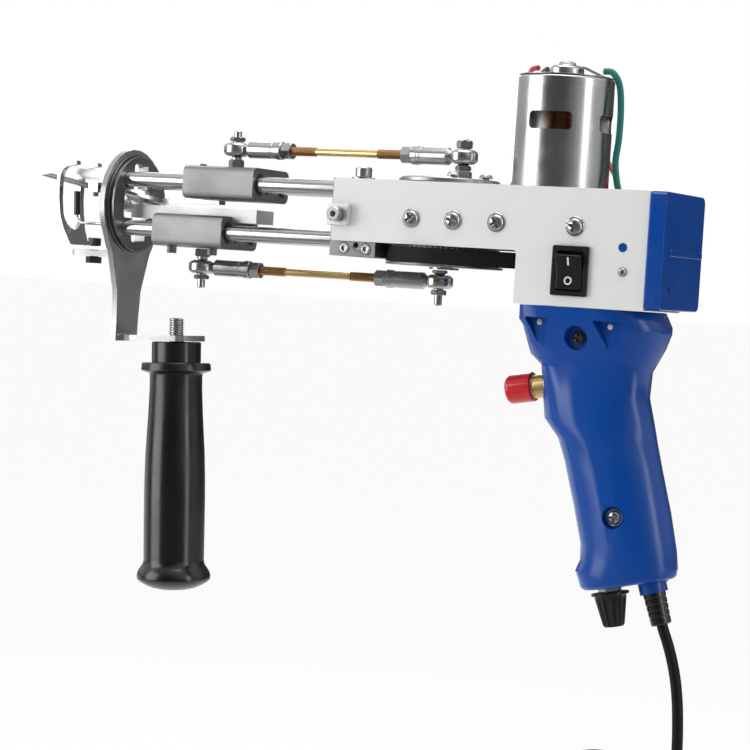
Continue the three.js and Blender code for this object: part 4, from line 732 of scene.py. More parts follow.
class TUFTING_OT_stage(Operator):
    """Sets the camera, the soft lamps, the pale floor and the white surroundings"""

    bl_idname = "tufting.stage"
    bl_label = "Stage"

    def execute(self, context):
        scene = context.scene
        scene.view_settings.view_transform = "Standard"
        self.camera(scene)
        for name, (place, target, sides, power) in LAMPS.items():
            self.lamp(scene, name, Vector(place) * MM, Vector(target) * MM, sides, power)
        self.floor()
        self.surroundings(scene)
        return {"FINISHED"}

    def camera(self, scene):
        """The photograph's own camera."""
        azimuth, pitch, roll = (math.radians(PICTURE[key]) for key in ("azimuth", "pitch", "roll"))
        level = math.cos(pitch)
        forwards = Vector((-math.sin(azimuth) * level, math.cos(azimuth) * level, -math.sin(pitch)))
        side = Vector((math.cos(azimuth), math.sin(azimuth), 0))
        up = side.cross(forwards)
        tip, lean = math.cos(roll), math.sin(roll)
        axes = Matrix((tip * side + lean * up, tip * up - lean * side, -forwards)).transposed()
        data = bpy.data.cameras.new("picture_camera")
        data.lens = PICTURE["lens"]
        data.dof.use_dof = False
        made = bpy.data.objects.new("picture_camera", data)
        made.matrix_world = Matrix.Translation(Vector(PICTURE["at"]) * MM) @ axes.to_4x4()
        scene.collection.objects.link(made)
        scene.camera = made

    def lamp(self, scene, name, place, target, sides, power):
        """A soft box of a width and a height that looks at a target."""
        data = bpy.data.lights.new(name, "AREA")
        data.shape = "RECTANGLE"
        data.size, data.size_y = (side * MM for side in sides)
        data.energy = power
        made = bpy.data.objects.new(name, data)
        made.location = place
        made.rotation_euler = (target - place).to_track_quat("-Z", "Y").to_euler()
        scene.collection.objects.link(made)

    def floor(self):
        """A pale floor just under the plug, which reads white and keeps the shadow."""
        clear_selection()
        bpy.ops.mesh.primitive_plane_add(size=FLOOR_SIZE, location=(0, 0, cad_box[0][2] - FLOOR_DROP))
        made = bpy.context.object
        made.name = "floor"
        sheet = bpy.data.materials.new("studio_floor")
        sheet.use_nodes = True
        tree = sheet.node_tree
        place = shader_node(tree, "TexCoord").outputs["Object"]
        across = shader_node(tree, "SeparateXYZ", {0: place}).outputs["Y"]
        grain = shader_node(tree, "TexNoise", {"Vector": place, "Scale": 3}).outputs["Fac"]
        shader = tree.nodes["Principled BSDF"]
        pale = mixed(tree, grain, (0.94, 0.94, 0.94, 1), (0.96, 0.96, 0.96, 1))
        feed(tree, shader, {"Base Color": pale, "Roughness": 0.9, "Specular IOR Level": 0.1})
        # Metal sees the floor dark near the camera and far behind the machine; the camera sees it white.
        near, far = ramp(tree, across, -0.5, 0.3, 0.2, 1), ramp(tree, across, 0.8, 3, 1, 0.12)
        room = maths(tree, "MULTIPLY", near, far)
        seen = maths(tree, "MAXIMUM", room, light_path(tree, "Is Camera Ray"))
        white = shader_node(tree, "Emission", {"Color": WHITE, "Strength": seen}).outputs[0]
        part = maths(tree, "MULTIPLY", background_rays(tree), 0.93)
        both = shader_node(tree, "MixShader", {0: part, 1: shader.outputs["BSDF"], 2: white})
        feed(tree, tree.nodes["Material Output"], {"Surface": both.outputs[0]})
        made.data.materials.append(sheet)

    def surroundings(self, scene):
        """White all round for the picture, darker zones for the metal to show, and an even soft light."""
        scene.world = bpy.data.worlds.new("studio")
        scene.world.use_nodes = True
        tree = scene.world.node_tree
        soft = tree.nodes["Background"]
        feed(tree, soft, {"Color": WHITE, "Strength": 0.38})
        place = shader_node(tree, "TexCoord").outputs["Generated"]
        parts = shader_node(tree, "SeparateXYZ", {0: place}).outputs
        towards = vector_maths(tree, "DOT_PRODUCT", place, (-0.12, -0.98, -0.16))
        behind = ramp(tree, towards, 0.1, 0.9, 0.92, 0.11)
        horizon = ramp(tree, parts["Z"], 0.0, 0.2, 0.3)
        back = ramp(tree, parts["Y"], 0.45, 0.9, 1, 0.14)
        dimmed = maths(tree, "MULTIPLY", maths(tree, "MULTIPLY", behind, horizon), back)
        shown = maths(tree, "MAXIMUM", light_path(tree, "Is Camera Ray"), dimmed)
        colour = shader_node(tree, "CombineColor", dict.fromkeys(("Red", "Green", "Blue"), shown)).outputs[0]
        bright = shader_node(tree, "Background", {"Color": colour, "Strength": 1}).outputs[0]
        both = shader_node(tree, "MixShader", {0: background_rays(tree), 1: soft.outputs[0], 2: bright})
        feed(tree, tree.nodes["World Output"], {"Surface": both.outputs[0]})


def light_path(tree, kind):
    """A mask of one kind of ray."""
    return shader_node(tree, "LightPath").outputs[kind]


def background_rays(tree):
    """A mask of the rays that show the background: from the camera, or by way of metal or glass."""
    first = maths(tree, "MAXIMUM", light_path(tree, "Is Camera Ray"), light_path(tree, "Is Glossy Ray"))
    return maths(tree, "MAXIMUM", first, light_path(tree, "Is Transmission Ray"))


# Cord

COIL = {"centre": (40, -264), "radius": 40, "pitch": 6.1, "turns": 7, "steps": 24}
# Between these turns the coil climbs over itself.
CLIMB = (3.25, 3.75)
CORD_RUN = [
    (64.6, 0, -147), (68.6, 0, -158.6), (72.4, 0, -168), (75.8, 0, -179), (78.1, 0, -191),
    (79.3, 0, -203.2), (79.9, 0, -215), (80, 0, -228), (80, 0, -242), (80, 0, -261),
]
CORD_TAIL = 27
CORD_EXIT = at(63.1, 0, -142.5) @ about_y(-18)


def coil_point(turn):
    """A point of the flat coil: it winds inwards, climbs over itself, and winds outwards again."""
    start, end = CLIMB
    climb = min(max((turn - start) / (end - start), 0), 1)
    wound = min(turn, start) - max(turn - end, 0)
    radius = COIL["radius"] - COIL["pitch"] * wound - math.sin(climb * math.pi)
    angle = turn * math.tau
    x, z = COIL["centre"]
    return x + radius * math.cos(angle), COIL["pitch"] * climb, z - radius * math.sin(angle)


def cord_points():
    """The cord's route from the grip to its plug."""
    count = COIL["turns"] * COIL["steps"]
    wound = [coil_point(step / COIL["steps"]) for step in range(1, count + 1)]
    x, y, z = wound[-1]
    tail = [(x, y, z - share * CORD_TAIL) for share in (1 / 3, 2 / 3, 1)]
    return CORD_RUN + wound + tail


class TUFTING_OT_cord(Operator):
    """Makes the cord with its coil, strain relief, tie and plug"""

    bl_idname = "tufting.cord"
    bl_label = "Cord"

    def execute(self, context):
        sizes = context.scene.tufting_sizes
        data = bpy.data.curves.new("power_cord", "CURVE")
        data.dimensions = "3D"
        data.bevel_depth = sizes.cord_radius
        data.bevel_resolution = 5
        data.resolution_u = 4
        data.use_fill_caps = True
        line = data.splines.new("BEZIER")
        points = cord_points()
        line.bezier_points.add(len(points) - 1)
        for control, point in zip(line.bezier_points, points):
            control.co = MACHINE @ Vector(point)
            control.handle_left_type = control.handle_right_type = "AUTO"
        cord = bpy.data.objects.new("power_cord", data)
        context.scene.collection.objects.link(cord)
        data.materials.append(materials["cord_sheath"])
        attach(cord, "frame")
        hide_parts("cord_run", "cord_coil")
        self.relief()
        plug = self.plug(at(*points[-1]))
        tie = self.tie()
        return {"FINISHED"}

    def relief(self):
        """The tapered strain relief with its ribs, on the grip's lower end."""
        profile = [(3, -5), (5.5, -5), (5.5, 1)]
        for rib in range(4):
            low = 2.2 + rib * 3
            radius = 5.5 - 0.035 * low
            groove = radius - 0.22
            profile += [(radius, low), (groove, low + 0.3), (groove, low + 0.7), (radius, low + 1)]
        profile += [(5, 14.9), (4.5, 15.5), (3, 15.5), (3, -5)]
        piece = turned_by(lathe(profile), CORD_EXIT @ UPSIDE_DOWN)
        finish(piece, "strain_relief_sleeve", "black_grip", "frame", "strain_relief")

    def plug(self, place):
        """The straight low-voltage plug: a ribbed grip, a shoulder and a hollow barrel."""
        profile = [(0, 1.5), (2.9, 1.5), (3.7, 1), (3.9, -5.5), (5.1, -6.5), (5.4, -7.2)]
        for rib in range(6):
            low = -8.6 - rib * 2.5
            profile += [(5.4, low), (4.9, low - 0.4), (4.9, low - 0.9), (5.4, low - 1.3)]
        profile += [(5.4, -27.2), (4.6, -28), (0, -28)]
        body = finish(turned_by(lathe(profile), place), "plug_body", "black_shell", "frame", "cord_plug")
        outside = [(2.75, -27.5), (2.75, -36.9), (2.5, -37.4), (1.3, -37.4)]
        barrel = lathe([(1.05, -36), (1.05, -27.5), *outside, (1.05, -36)])
        finish(turned_by(barrel, place), "plug_barrel", "zinc_plate", "frame")
        return body

    def tie(self):
        """The twist tie that holds the coil's turns together."""
        x, z = COIL["centre"]
        inner = COIL["radius"] - COIL["pitch"] * CLIMB[0] - 3.4
        outer = COIL["radius"] + 3.3
        path = [Vector((x - reach, y, z)) for reach, y in rounded(rectangle(inner, outer, -3.5, 9.6), 1.6)]
        return finish(wire(path + path[:1], 0.7, 12), "coil_tie", "black_shell", "frame")


# Pieces shared by several operators


def pan_screw(radius=4.75, height=2.6):
    """A pan head with a cross recess, its seat at the origin and its top towards +Z."""
    rim, dome_radius, dome_steps = height * 0.26, radius * 0.84, 7
    profile = [(0, 0), (radius, 0), (radius, rim * 0.7), (radius * 0.95, rim), (dome_radius, rim)]
    for step in range(1, dome_steps):
        turn = step / dome_steps * math.pi / 2
        profile.append((dome_radius * math.cos(turn), rim + (height - rim) * math.sin(turn)))
    piece = lathe(profile + [(0, height)])
    reach, half, deep = radius * 0.6, radius * 0.16, height * 0.9
    for turn in (0, math.pi / 2):
        slot = turned_by(block(-reach, reach, -half, half, height - deep, height + 1), about_z(turn))
        bevel_where(slot, lambda a, b: abs(a.z - b.z) > deep / 2, half * 0.8, 2)
        carve(piece, slot)
    return ease_edges(piece, 0.12)


def socket_screw(radius, height, key):
    """A socket cap head with its hexagon recess, its seat at the origin and its top towards +Z."""
    piece = lathe(rod_profile(radius, 0, height, 0.5))
    return ease_edges(carve(piece, prism(key, height * 0.45, height + 1, 0.1)), 0.14)


def washer(inner, outer, thick):
    """A flat washer on the origin's plane."""
    return ease_edges(lathe(ring_profile(inner, outer, 0, thick)), 0.15)


def dressed(node, material, width, body="frame", name=None, segments=2):
    """A CAD node's shape with its edges eased, in place of the node."""
    piece = ease_edges(cad_copy(node), width, segments)
    return finish(piece, name or node + "_skin", material, body, node)


# Housing

CLAMP = (-105.3, 30.45)
SET_SCREWS = (-103.3, -91.2)
PANEL_SCREWS = (-66.2, -43.5, -20.3, 20.6)
SIDE_FACE = -26.5


def near_side(x, y, z):
    """A place on the near side, with +Z turned towards the camera."""
    return at(x, y, z) @ TOWARDS_CAMERA


class TUFTING_OT_housing(Operator):
    """Makes the painted housing, its blocks, its bearings and the blue rear cap"""

    bl_idname = "tufting.housing"
    bl_label = "Housing"

    def execute(self, context):
        plate_edge, block_edge = edge("plate_edge"), edge("block_edge")
        for node in ("left_side_panel", "right_side_panel", "deck_plate"):
            dressed(node, "white_paint", plate_edge)
        dressed("motor_block", "white_paint", block_edge)
        dressed("crank_bearing_block", "cast_aluminium", block_edge)
        self.front_block(block_edge)
        self.clamp(block_edge)
        self.rear_cap(edge("moulded_edge"))
        for node in ("upper_bearing", "lower_bearing"):
            self.bearing(node)
        return {"FINISHED"}

    def front_block(self, width):
        """The front rod block with the set screws that show under the panel."""
        piece = ease_edges(cad_copy("front_rod_block"), width)
        screws = []
        for index, x in enumerate(SET_SCREWS):
            carve(piece, turned_by(lathe(rod_profile(2.9, -2, 1)), near_side(x, -24.6, 13.9)))
            carve(piece, turned_by(lathe(rod_profile(1.5, -4, 1), SMALL), near_side(x + 6.4, -24.6, 15.6)))
            screws.append((f"rod_set_screw_{index + 1}", near_side(x, -23.2, 13.9), "frame"))
        finish_copies(socket_screw(2.7, 2.2, 2.6), "zinc_plate", screws)
        finish(piece, "front_rod_block_skin", "cast_aluminium", "frame", "front_rod_block")

    def clamp(self, width):
        """The square clamp block on the near side with a ring turned about its screw's seat."""
        piece = ease_edges(cad_copy("clamp_block"), width, 3)
        seat = turned_by(lathe(rod_profile(4.2, -0.35, 2)), near_side(CLAMP[0], -30.5, CLAMP[1]))
        finish(carve(piece, seat), "clamp_block_skin", "satin_steel", "frame", "clamp_block")

    def rear_cap(self, width):
        """The moulded rear cap with the raised bar and the two sink holes of its rear face."""
        piece = ease_edges(cad_copy("rear_cap"), width, 4)
        bar = rounded(rectangle(-19, 26, 18.6, 22), 1.3)
        unite(piece, ease_edges(plate_x(bar, 65, 66.7), 0.4, 3))
        for across, up in ((-16.5, 2.8), (13.9, 11.9)):
            carve(piece, turned_by(lathe(rod_profile(1.5, 0, 5)), at(64.6, across, up) @ ALONG_X))
        finish(piece, "rear_cap_shell", "blue_shell", "frame", "rear_cap")

    def bearing(self, node):
        """A ball bearing: two rings with a shield sunk between them."""
        low, high = corners(node)
        inner, outer, deep = 4.3, (high.y - low.y) / 2, 0.35
        shield, rim = inner + 2, outer - 1.7

        def face(z, inwards):
            """One face, from the bore out to the rim."""
            sunk, inner_corner, outer_corner = (z + inwards * size for size in (deep, 0.3, 0.4))
            ring = [(inner, inner_corner), (inner + 0.3, z), (shield, z), (shield, sunk)]
            return ring + [(rim, sunk), (rim, z), (outer - 0.4, z), (outer, outer_corner)]

        bottom = face(low.z, 1)
        piece = turned_by(lathe(bottom + face(high.z, -1)[::-1] + bottom[:1], FINE), at((low.x + high.x) / 2))
        finish(piece, node + "_rings", "ground_steel", "frame", node)


class TUFTING_OT_screws(Operator):
    """Makes the housing's screws: pan heads in the panels, and the clamp's and the top's socket screws"""

    bl_idname = "tufting.screws"
    bl_label = "Housing screws"

    def execute(self, context):
        screws = []
        for index, x in enumerate(PANEL_SCREWS):
            for side, face, outwards in (("near", SIDE_FACE, TOWARDS_CAMERA), ("far", -SIDE_FACE, ALONG_Y)):
                place = at(x, face, 30.3) @ outwards @ about_z(0.5 + 0.8 * index)
                screws.append((f"panel_screw_{side}_{index + 1}", place, "frame"))
        finish_copies(pan_screw(), "zinc_plate", screws)
        small = turned_by(pan_screw(2.3, 1.5), near_side(46.1, SIDE_FACE, 10))
        finish(small, "panel_small_screw", "zinc_plate", "frame")
        clamp = turned_by(socket_screw(3.6, 5.2, 3), near_side(CLAMP[0], -30.15, CLAMP[1]))
        finish(clamp, "clamp_screw", "zinc_plate", "frame")
        finish(turned_by(washer(2.1, 6.1, 1.1), at(-104.5, -6, 49.1)), "top_washer", "zinc_plate", "frame")
        top = turned_by(socket_screw(4.25, 5.2, 3), at(-104.5, -6, 50.2))
        finish(top, "top_screw", "zinc_plate", "frame")
        stopper = lathe([(0, 0), (2.2, 0), (2.2, 1.2), (1.9, 1.7), (0, 1.7)])
        finish(turned_by(stopper, near_side(45.4, -25.2, 21.5)), "panel_stopper", "blue_shell", "frame")
        return {"FINISHED"}


class TUFTING_OT_switch(Operator):
    """Makes the rocker switch's bezel and its rocker with the on and off marks"""

    bl_idname = "tufting.switch"
    bl_label = "Rocker switch"

    def execute(self, context):
        dressed("switch_body", "switch_shell", 0.35, name="switch_bezel", segments=3)
        cap = dressed("rocker", "switch_shell", 0.6, "power_rocker", "rocker_cap", 3)
        low, high = corners("rocker")
        middle = (low + high) / 2
        bar = ease_edges(block(-0.45, 0.45, -2, 2, -0.05, 0.12), 0.03)
        ring = lathe(ring_profile(1.3, 2, -0.05, 0.12))
        for name, mark, rise in (("mark_on", bar, 4.6), ("mark_off", ring, -4.6)):
            place = self.face_place(cap, middle.x, middle.z + rise)
            finish(turned_by(mark, place), name, "white_mark", "power_rocker")
        return {"FINISHED"}

    def face_place(self, cap, x, z):
        """A place on the rocker's face, with +Z turned out of it."""
        found, point, normal, _ = cap.ray_cast(MACHINE @ Vector((x, -60, z)), Vector((0, 1, 0)))
        if not found:
            raise RuntimeError("the rocker has no face at the mark")
        turn = normal.to_track_quat("Z", "Y").to_matrix().to_4x4()
        return Matrix.Translation(MACHINE.inverted() @ point) @ turn


# Motor

CAN = {"radius": 24, "bore": 22.8, "low": 32, "high": 102.7}
WINDOW = {"width": 21.5, "low": 76.5, "high": 85.1, "turns": (-84, 6)}
ARMATURE_SLOTS = 12
# The leads' routes, as shares of the can's radius and height
GREEN_LEAD = [
    (0.82, 0, 1.055), (1.01, 0, 1.045), (1.17, 0, 0.96), (1.23, 0, 0.8), (1.23, 0, 0.6),
    (1.19, 0, 0.44), (1.25, 0, 0.3), (1.34, 0, 0.2), (1.36, 0, 0.15),
]
RED_LEAD = [
    (-0.62, -0.02, 1.07), (-0.86, 0.2, 1.06), (-1.02, 0.62, 0.97), (-0.4, 1.18, 0.78), (0.4, 1.2, 0.52),
    (0.8, 0.94, 0.38), (1.13, 0.36, 0.28), (1.22, 0.22, 0.2), (1.23, 0.2, 0.15),
]


class TUFTING_OT_motor(Operator):
    """Makes the motor: its can, end cap, terminals, armature, pulley and leads"""

    bl_idname = "tufting.motor"
    bl_label = "Motor"

    def execute(self, context):
        self.can()
        self.end_cap()
        self.armature()
        dressed("motor_pulley", "cast_aluminium", 0.12, "motor_rotor", "motor_pulley_teeth")
        self.lead("green_wire", GREEN_LEAD, "green_insulation", "green_lead", 1.6)
        self.lead("red_wire", RED_LEAD, "red_insulation", "red_lead", 1.3)
        return {"FINISHED"}

    def can(self):
        """The drawn can with the round edges of its two ends and its four cooling windows."""
        outer, inner, low, high = CAN.values()
        boss = [(5.2, low - 4.6), (7.9, low - 4.6), (8.5, low - 4), (8.5, low)]
        front, rear, steps = 2.2, 1.1, 6
        shoulder, crown = [], []
        for turn in (math.pi / 2 * step / steps for step in range(steps + 1)):
            inwards, onwards = 1 - math.sin(turn), 1 - math.cos(turn)
            shoulder.append((outer - front * inwards, low + front * onwards))
            crown.append((outer - rear * onwards, high - rear * inwards))
        inside = [(inner, high), (inner, low + 1.6), (5.2, low + 1.6), (5.2, low - 4.6)]
        piece = lathe(boss + shoulder + crown + inside, FINE)
        half = WINDOW["width"] / 2
        outline = rounded(rectangle(-half, half, WINDOW["low"], WINDOW["high"]), 2.2, 6)
        for turn in WINDOW["turns"]:
            carve(piece, turned_by(plate_x(outline, -30, 30), about_z(math.radians(turn))))
        carve(piece, lathe(ring_profile(outer - 0.25, outer + 2, 97.6, 98.0), FINE))
        finish(ease_edges(piece, 0.18, 2, 40), "motor_shell", "motor_shell", "frame", "motor_can")

    def end_cap(self):
        """The end cap with its stepped bearing boss, its rim and the two terminals."""
        rim = [(0, 102.9), (22.6, 102.9), (23.4, 103.1), (23.5, 103.5), (23, 103.6)]
        boss = [(9.6, 103.6), (9, 104), (8.6, 104.6), (8.6, 106.9), (8.3, 107.9), (7.4, 108.7), (6.6, 108.9)]
        top = [(5.2, 109), (4.5, 109.4), (4.3, 110.3), (3.5, 110.8), (0, 110.8)]
        piece = ease_edges(lathe(rim + boss + top, FINE), 0.15)
        finish(piece, "motor_end_bell", "zinc_plate", "frame", "motor_end_cap")
        self.terminal("front_terminal", Vector((-9.2, 0, 107.9)), Vector((-14.2, 0, 104.2)))
        self.terminal("rear_terminal", Vector((9.2, 0, 108.2)), Vector((19.2, 0, 103.9)))

    def terminal(self, name, start, end):
        """A slanted blade terminal with its solder hole."""
        along = end - start
        outline = rounded(rectangle(0, along.length, -3, 3), [0.2, 1.2, 1.2, 0.2])
        blade = plate(outline, -0.45, 0.45)
        carve(blade, turned_by(lathe(rod_profile(1.1, -2, 2), SMALL), at(along.length - 2.6)))
        tilt = math.degrees(math.atan2(-along.z, along.x))
        ease_edges(blade, 0.12)
        finish(turned_by(blade, Matrix.Translation(start) @ about_y(tilt)), name, "zinc_plate", "frame")

    def armature(self):
        """The wound armature seen through the windows: a slotted core, windings and a commutator."""
        shaft = [(0, 6.2), (2.4, 6.2), (2.4, 45)]
        coils = [(11, 45), (14.4, 46.2), (15, 49), (15, 50.5)]
        core = [(18.5, 50.5), (18.5, 67), (15, 67), (15, 69), (13.6, 71.6), (10, 72.4)]
        commutator = [(8.4, 80), (8.4, 82), (8, 82.4), (8, 92.6), (5, 93), (2.4, 93), (2.4, 102), (0, 102)]
        piece = lathe(shaft + coils + core + commutator, FINE)
        for index in range(ARMATURE_SLOTS):
            slot = block(14.4, 20, -0.9, 0.9, 46, 71)
            carve(piece, turned_by(slot, about_z(math.tau * index / ARMATURE_SLOTS)))
        finish(ease_edges(piece, 0.15, 1), "armature_windings", "copper_winding", "motor_rotor", "armature")

    def lead(self, name, route, material, node, thick):
        """A motor lead, which runs down the can."""
        radius, tall = CAN["radius"], CAN["high"] - CAN["low"]
        path = smooth_line([(radius * x, radius * y, CAN["low"] + tall * z) for x, y, z in route], 8)
        finish(wire(path, thick), name, material, "frame", node)


# Drive

CRANK = spot("crank_spin")
DISC_SCREWS = {"middle": math.radians(-34), "apart": math.radians(25.5), "reach": 21.5, "seat": 52.5}


class TUFTING_OT_drive(Operator):
    """Makes the timing belt, the crank pulley, its shaft and the crank disc"""

    bl_idname = "tufting.drive"
    bl_label = "Drive"

    def execute(self, context):
        dressed("timing_belt", "belt_rubber", 0.12, name="toothed_belt")
        dressed("crank_pulley", "cast_aluminium", 0.15, "crank", "crank_pulley_teeth")
        shoulder = [(0, 6.2), (7.4, 6.2), (7.4, 7.2), (4, 7.2)]
        shaft = lathe(shoulder + rod_profile(4, 6.2, 50.6, 0.5)[3:])
        finish(turned_by(shaft, at(CRANK.x)), "crank_spindle", "ground_steel", "crank", "crank_shaft")
        dressed("crank_disc", "brushed_plate", 0.3, "crank", "crank_disc_plate", 3)
        self.disc_screws()
        return {"FINISHED"}

    def disc_screws(self):
        """The heads of the two screws of the crank disc."""
        middle, apart, reach, seat = DISC_SCREWS.values()
        screws = []
        for index, angle in enumerate((middle - apart, middle + apart)):
            place = at(CRANK.x + reach * math.cos(angle), reach * math.sin(angle), seat)
            screws.append((f"disc_screw_{index + 1}", place @ about_z(0.4 + index), "crank"))
        finish_copies(pan_screw(3.45, 1.9), "zinc_plate", screws)


# Guide rods


class TUFTING_OT_rods(Operator):
    """Makes the four ground guide rods"""

    bl_idname = "tufting.rods"
    bl_label = "Guide rods"

    def execute(self, context):
        for node in ("upper_near_rod", "upper_far_rod", "lower_near_rod", "lower_far_rod"):
            low, high = corners(node)
            place = at(low.x, (low.y + high.y) / 2, (low.z + high.z) / 2) @ ALONG_X
            rod = turned_by(lathe(rod_profile(4, 0, high.x - low.x, 0.6)), place)
            finish(rod, node + "_bar", "ground_steel", "frame", node)
        return {"FINISHED"}


# Connecting rods: the place of each front ball, which way the pins point, and the heights of their collars

LINKS = {
    "needle": {
        "ball": spot("needle_link_swing"),
        "flip": Matrix.Identity(4),
        "front": {"seat": 9.6, "shoulder": 5.4, "nut": 6.4, "end": 9.7},
        "rear": {"seat": 7, "shoulder": 4.4, "nut": 8.1, "end": 9},
    },
    "scissor": {
        "ball": spot("scissor_link_swing"),
        "flip": UPSIDE_DOWN,
        "front": {"seat": 9.6, "shoulder": 5.4, "nut": 6.4, "end": 11},
        "rear": {"seat": 5.9, "shoulder": 4.2, "nut": 6.8, "end": 12.1},
    },
}
LINK_LENGTH = 134
# Along a rod from its ball: where the thread and the jam nut are
THREAD = (24.5, 48.9)
JAM_NUT = (29, 34.4)


class TUFTING_OT_links(Operator):
    """Makes the two connecting rods with their rod ends, threaded studs, nuts and ball pins"""

    bl_idname = "tufting.links"
    bl_label = "Connecting rods"

    def execute(self, context):
        ends, threads, nuts = [], [], []
        for name, spec in LINKS.items():
            body = name + "_link"
            front = self.place(name)
            rear = front @ at(LINK_LENGTH)
            for index, (side, place) in enumerate((("front", front), ("rear", rear @ about_z(math.pi)))):
                node = f"{name}_{side}_rod_end"
                ends.append((node + "_housing", place, body, node))
                threads.append((f"{name}_stud_thread_{index + 1}", place @ ALONG_X, body))
                nuts.append((f"{name}_jam_nut_{index + 1}", place @ ALONG_X, body))
            middle = lathe(rod_profile(1.95, THREAD[1], LINK_LENGTH - THREAD[1]))
            turned_by(middle, front @ ALONG_X)
            finish(middle, name + "_stud_middle", "polished_brass", body, name + "_link_stud")
            level = Matrix.Translation(front.translation)
            for side, place, rider in (("front", level, name + "_carriage"), ("rear", rear, body)):
                node = f"{name}_{side}_pin"
                pin = turned_by(self.ball_pin(**spec[side]), place @ spec["flip"])
                finish(pin, node + "_ball", "zinc_plate", rider, node)
        finish_copies(self.rod_end(), "zinc_plate", ends)
        finish_copies(lathe(thread_profile(2.35, 0.5, 1.1, *THREAD), SMALL), "threaded_brass", threads)
        finish_copies(self.jam_nut(), "zinc_plate", nuts)
        return {"FINISHED"}

    def place(self, name):
        """Where a connecting rod's front ball is and how the rod lies, from its rear pin's box."""
        front = LINKS[name]["ball"]
        low, high = corners(name + "_rear_pin")
        rear = (low + high) / 2
        return Matrix.Translation(front) @ about_z(math.atan2(rear.y - front.y, rear.x - front.x))

    def rod_end(self):
        """A rod end: the rounded eye, its neck, the shank with a groove, and the collar."""
        upper = [(7, 1.6), (6.4, 2.7), (5, 3.5), (4.3, 3.5), (4.5, 1.6)]
        lower = [(out, -up) for out, up in reversed(upper)]
        eye = lathe(lower[1:] + upper + lower[:2], FINE)
        neck = [(0, 5.3), (2.9, 5.3), (2.9, 6.6), (3.5, 7.6), (4.35, 8.6)]
        groove = [(4.35, 22.6), (4.1, 22.9), (4.1, 23.5), (4.35, 23.8)]
        collar = [(4.35, 25), (4.7, 25.35), (4.7, 28.2), (4.3, 28.7), (0, 28.7)]
        shank = turned_by(lathe(neck + groove + collar), ALONG_X)
        bore = turned_by(lathe(rod_profile(2.45, 24, 30), SMALL), ALONG_X)
        return ease_edges(carve(unite(eye, shank), bore), 0.14, 2, 35)

    def jam_nut(self):
        """The hexagon nut that locks a rod end on its thread."""
        low, high = JAM_NUT
        bore = lathe(rod_profile(2.3, low - 1, high + 0.6), SMALL)
        return ease_edges(carve(prism(8, low, high, 0.7), bore), 0.12, 1)

    def ball_pin(self, seat, shoulder, nut, end):
        """A ball pin: its stem, hexagon seat, ball, lock nut and threaded end."""
        turns = [math.radians(degrees) for degrees in range(-57, 58, 6)]
        ball = [(4.2 * math.cos(turn), 4.2 * math.sin(turn)) for turn in turns]
        stem = [(0, -seat), (2, -seat), (2, -shoulder), (2.9, -shoulder), (2.6, -3.7)]
        tip = [(2.6, 3.7), (2.6, 4.0), (2, 4.0), (2, end - 0.5), (1.6, end), (0, end)]
        piece = unite(lathe(stem + ball + tip), prism(7, -seat, -shoulder, 0.6), prism(7, 4.1, nut, 0.6))
        return ease_edges(piece, 0.1, 1, 35)


# Sliders


class TUFTING_OT_sliders(Operator):
    """Makes the two sliders with the bushes that the guide rods run in"""

    bl_idname = "tufting.sliders"
    bl_label = "Sliders"

    def execute(self, context):
        width = edge("block_edge")
        profile = [(4.25, -1.9), (5.6, -1.9), (5.6, -0.3), (5.2, 0.1), (4.6, 0.1), (4.25, -0.2)]
        rings = []
        for name, height in (("needle", 44), ("scissor", 18.4)):
            body, node = name + "_carriage", name + "_slider"
            dressed(node, "brushed_aluminium", width, body, node + "_block", 3)
            low, high = corners(node)
            for end, x, turn in (("front", low.x, about_y(-90)), ("rear", high.x, about_y(90))):
                for side, y in (("near", -12), ("far", 12)):
                    rings.append((f"{name}_bush_{end}_{side}", at(x, y, height) @ turn, body))
        finish_copies(lathe(profile + profile[:1]), "blackened_steel", rings)
        low, high = corners("needle_slider")
        button = turned_by(socket_screw(1.9, 1.3, 1.5), at(low.x + 4.5, -6.5, high.z))
        finish(button, "needle_slider_screw", "blackened_steel", "needle_carriage")
        return {"FINISHED"}


# Needle


class TUFTING_OT_needle(Operator):
    """Makes the needle and its cranked arm"""

    bl_idname = "tufting.needle"
    bl_label = "Needle"

    def execute(self, context):
        dressed("needle", "ground_steel", 0.08, "needle_carriage", "hollow_needle", 1)
        dressed("needle_arm", "zinc_plate", 0.22, "needle_carriage", "needle_holder")
        return {"FINISHED"}


# Scissors


class TUFTING_OT_scissors(Operator):
    """Makes the scissor bar and the two ground blades"""

    bl_idname = "tufting.scissors"
    bl_label = "Scissors"

    def execute(self, context):
        dressed("scissor_bar", "satin_steel", 0.25, "scissor_carriage", "scissor_channel")
        dressed("fixed_blade", "brushed_plate", 0.15, "scissor_carriage", "fixed_scissor_blade", 1)
        dressed("moving_blade", "brushed_plate", 0.15, "cutting_blade", "moving_scissor_blade", 1)
        return {"FINISHED"}


# Front end

GUARD_WIRE = [
    (-245.4, 10, 20), (-249.4, 10, 20), (-255.4, 7.7, 20), (-263.4, 5.4, 20),
    (-280, 5.4, 20), (-283.3, 5.4, 22), (-284, 5.4, 24), (-284.7, 5.4, 36.4),
]
GUARD_RADIUS = 0.8
# Outside and inside the bracket's lower bend: x, z and the bend's radius
BENDS = ((-247.4, -42, 3.6), (-244.4, -38.9, 1.2))


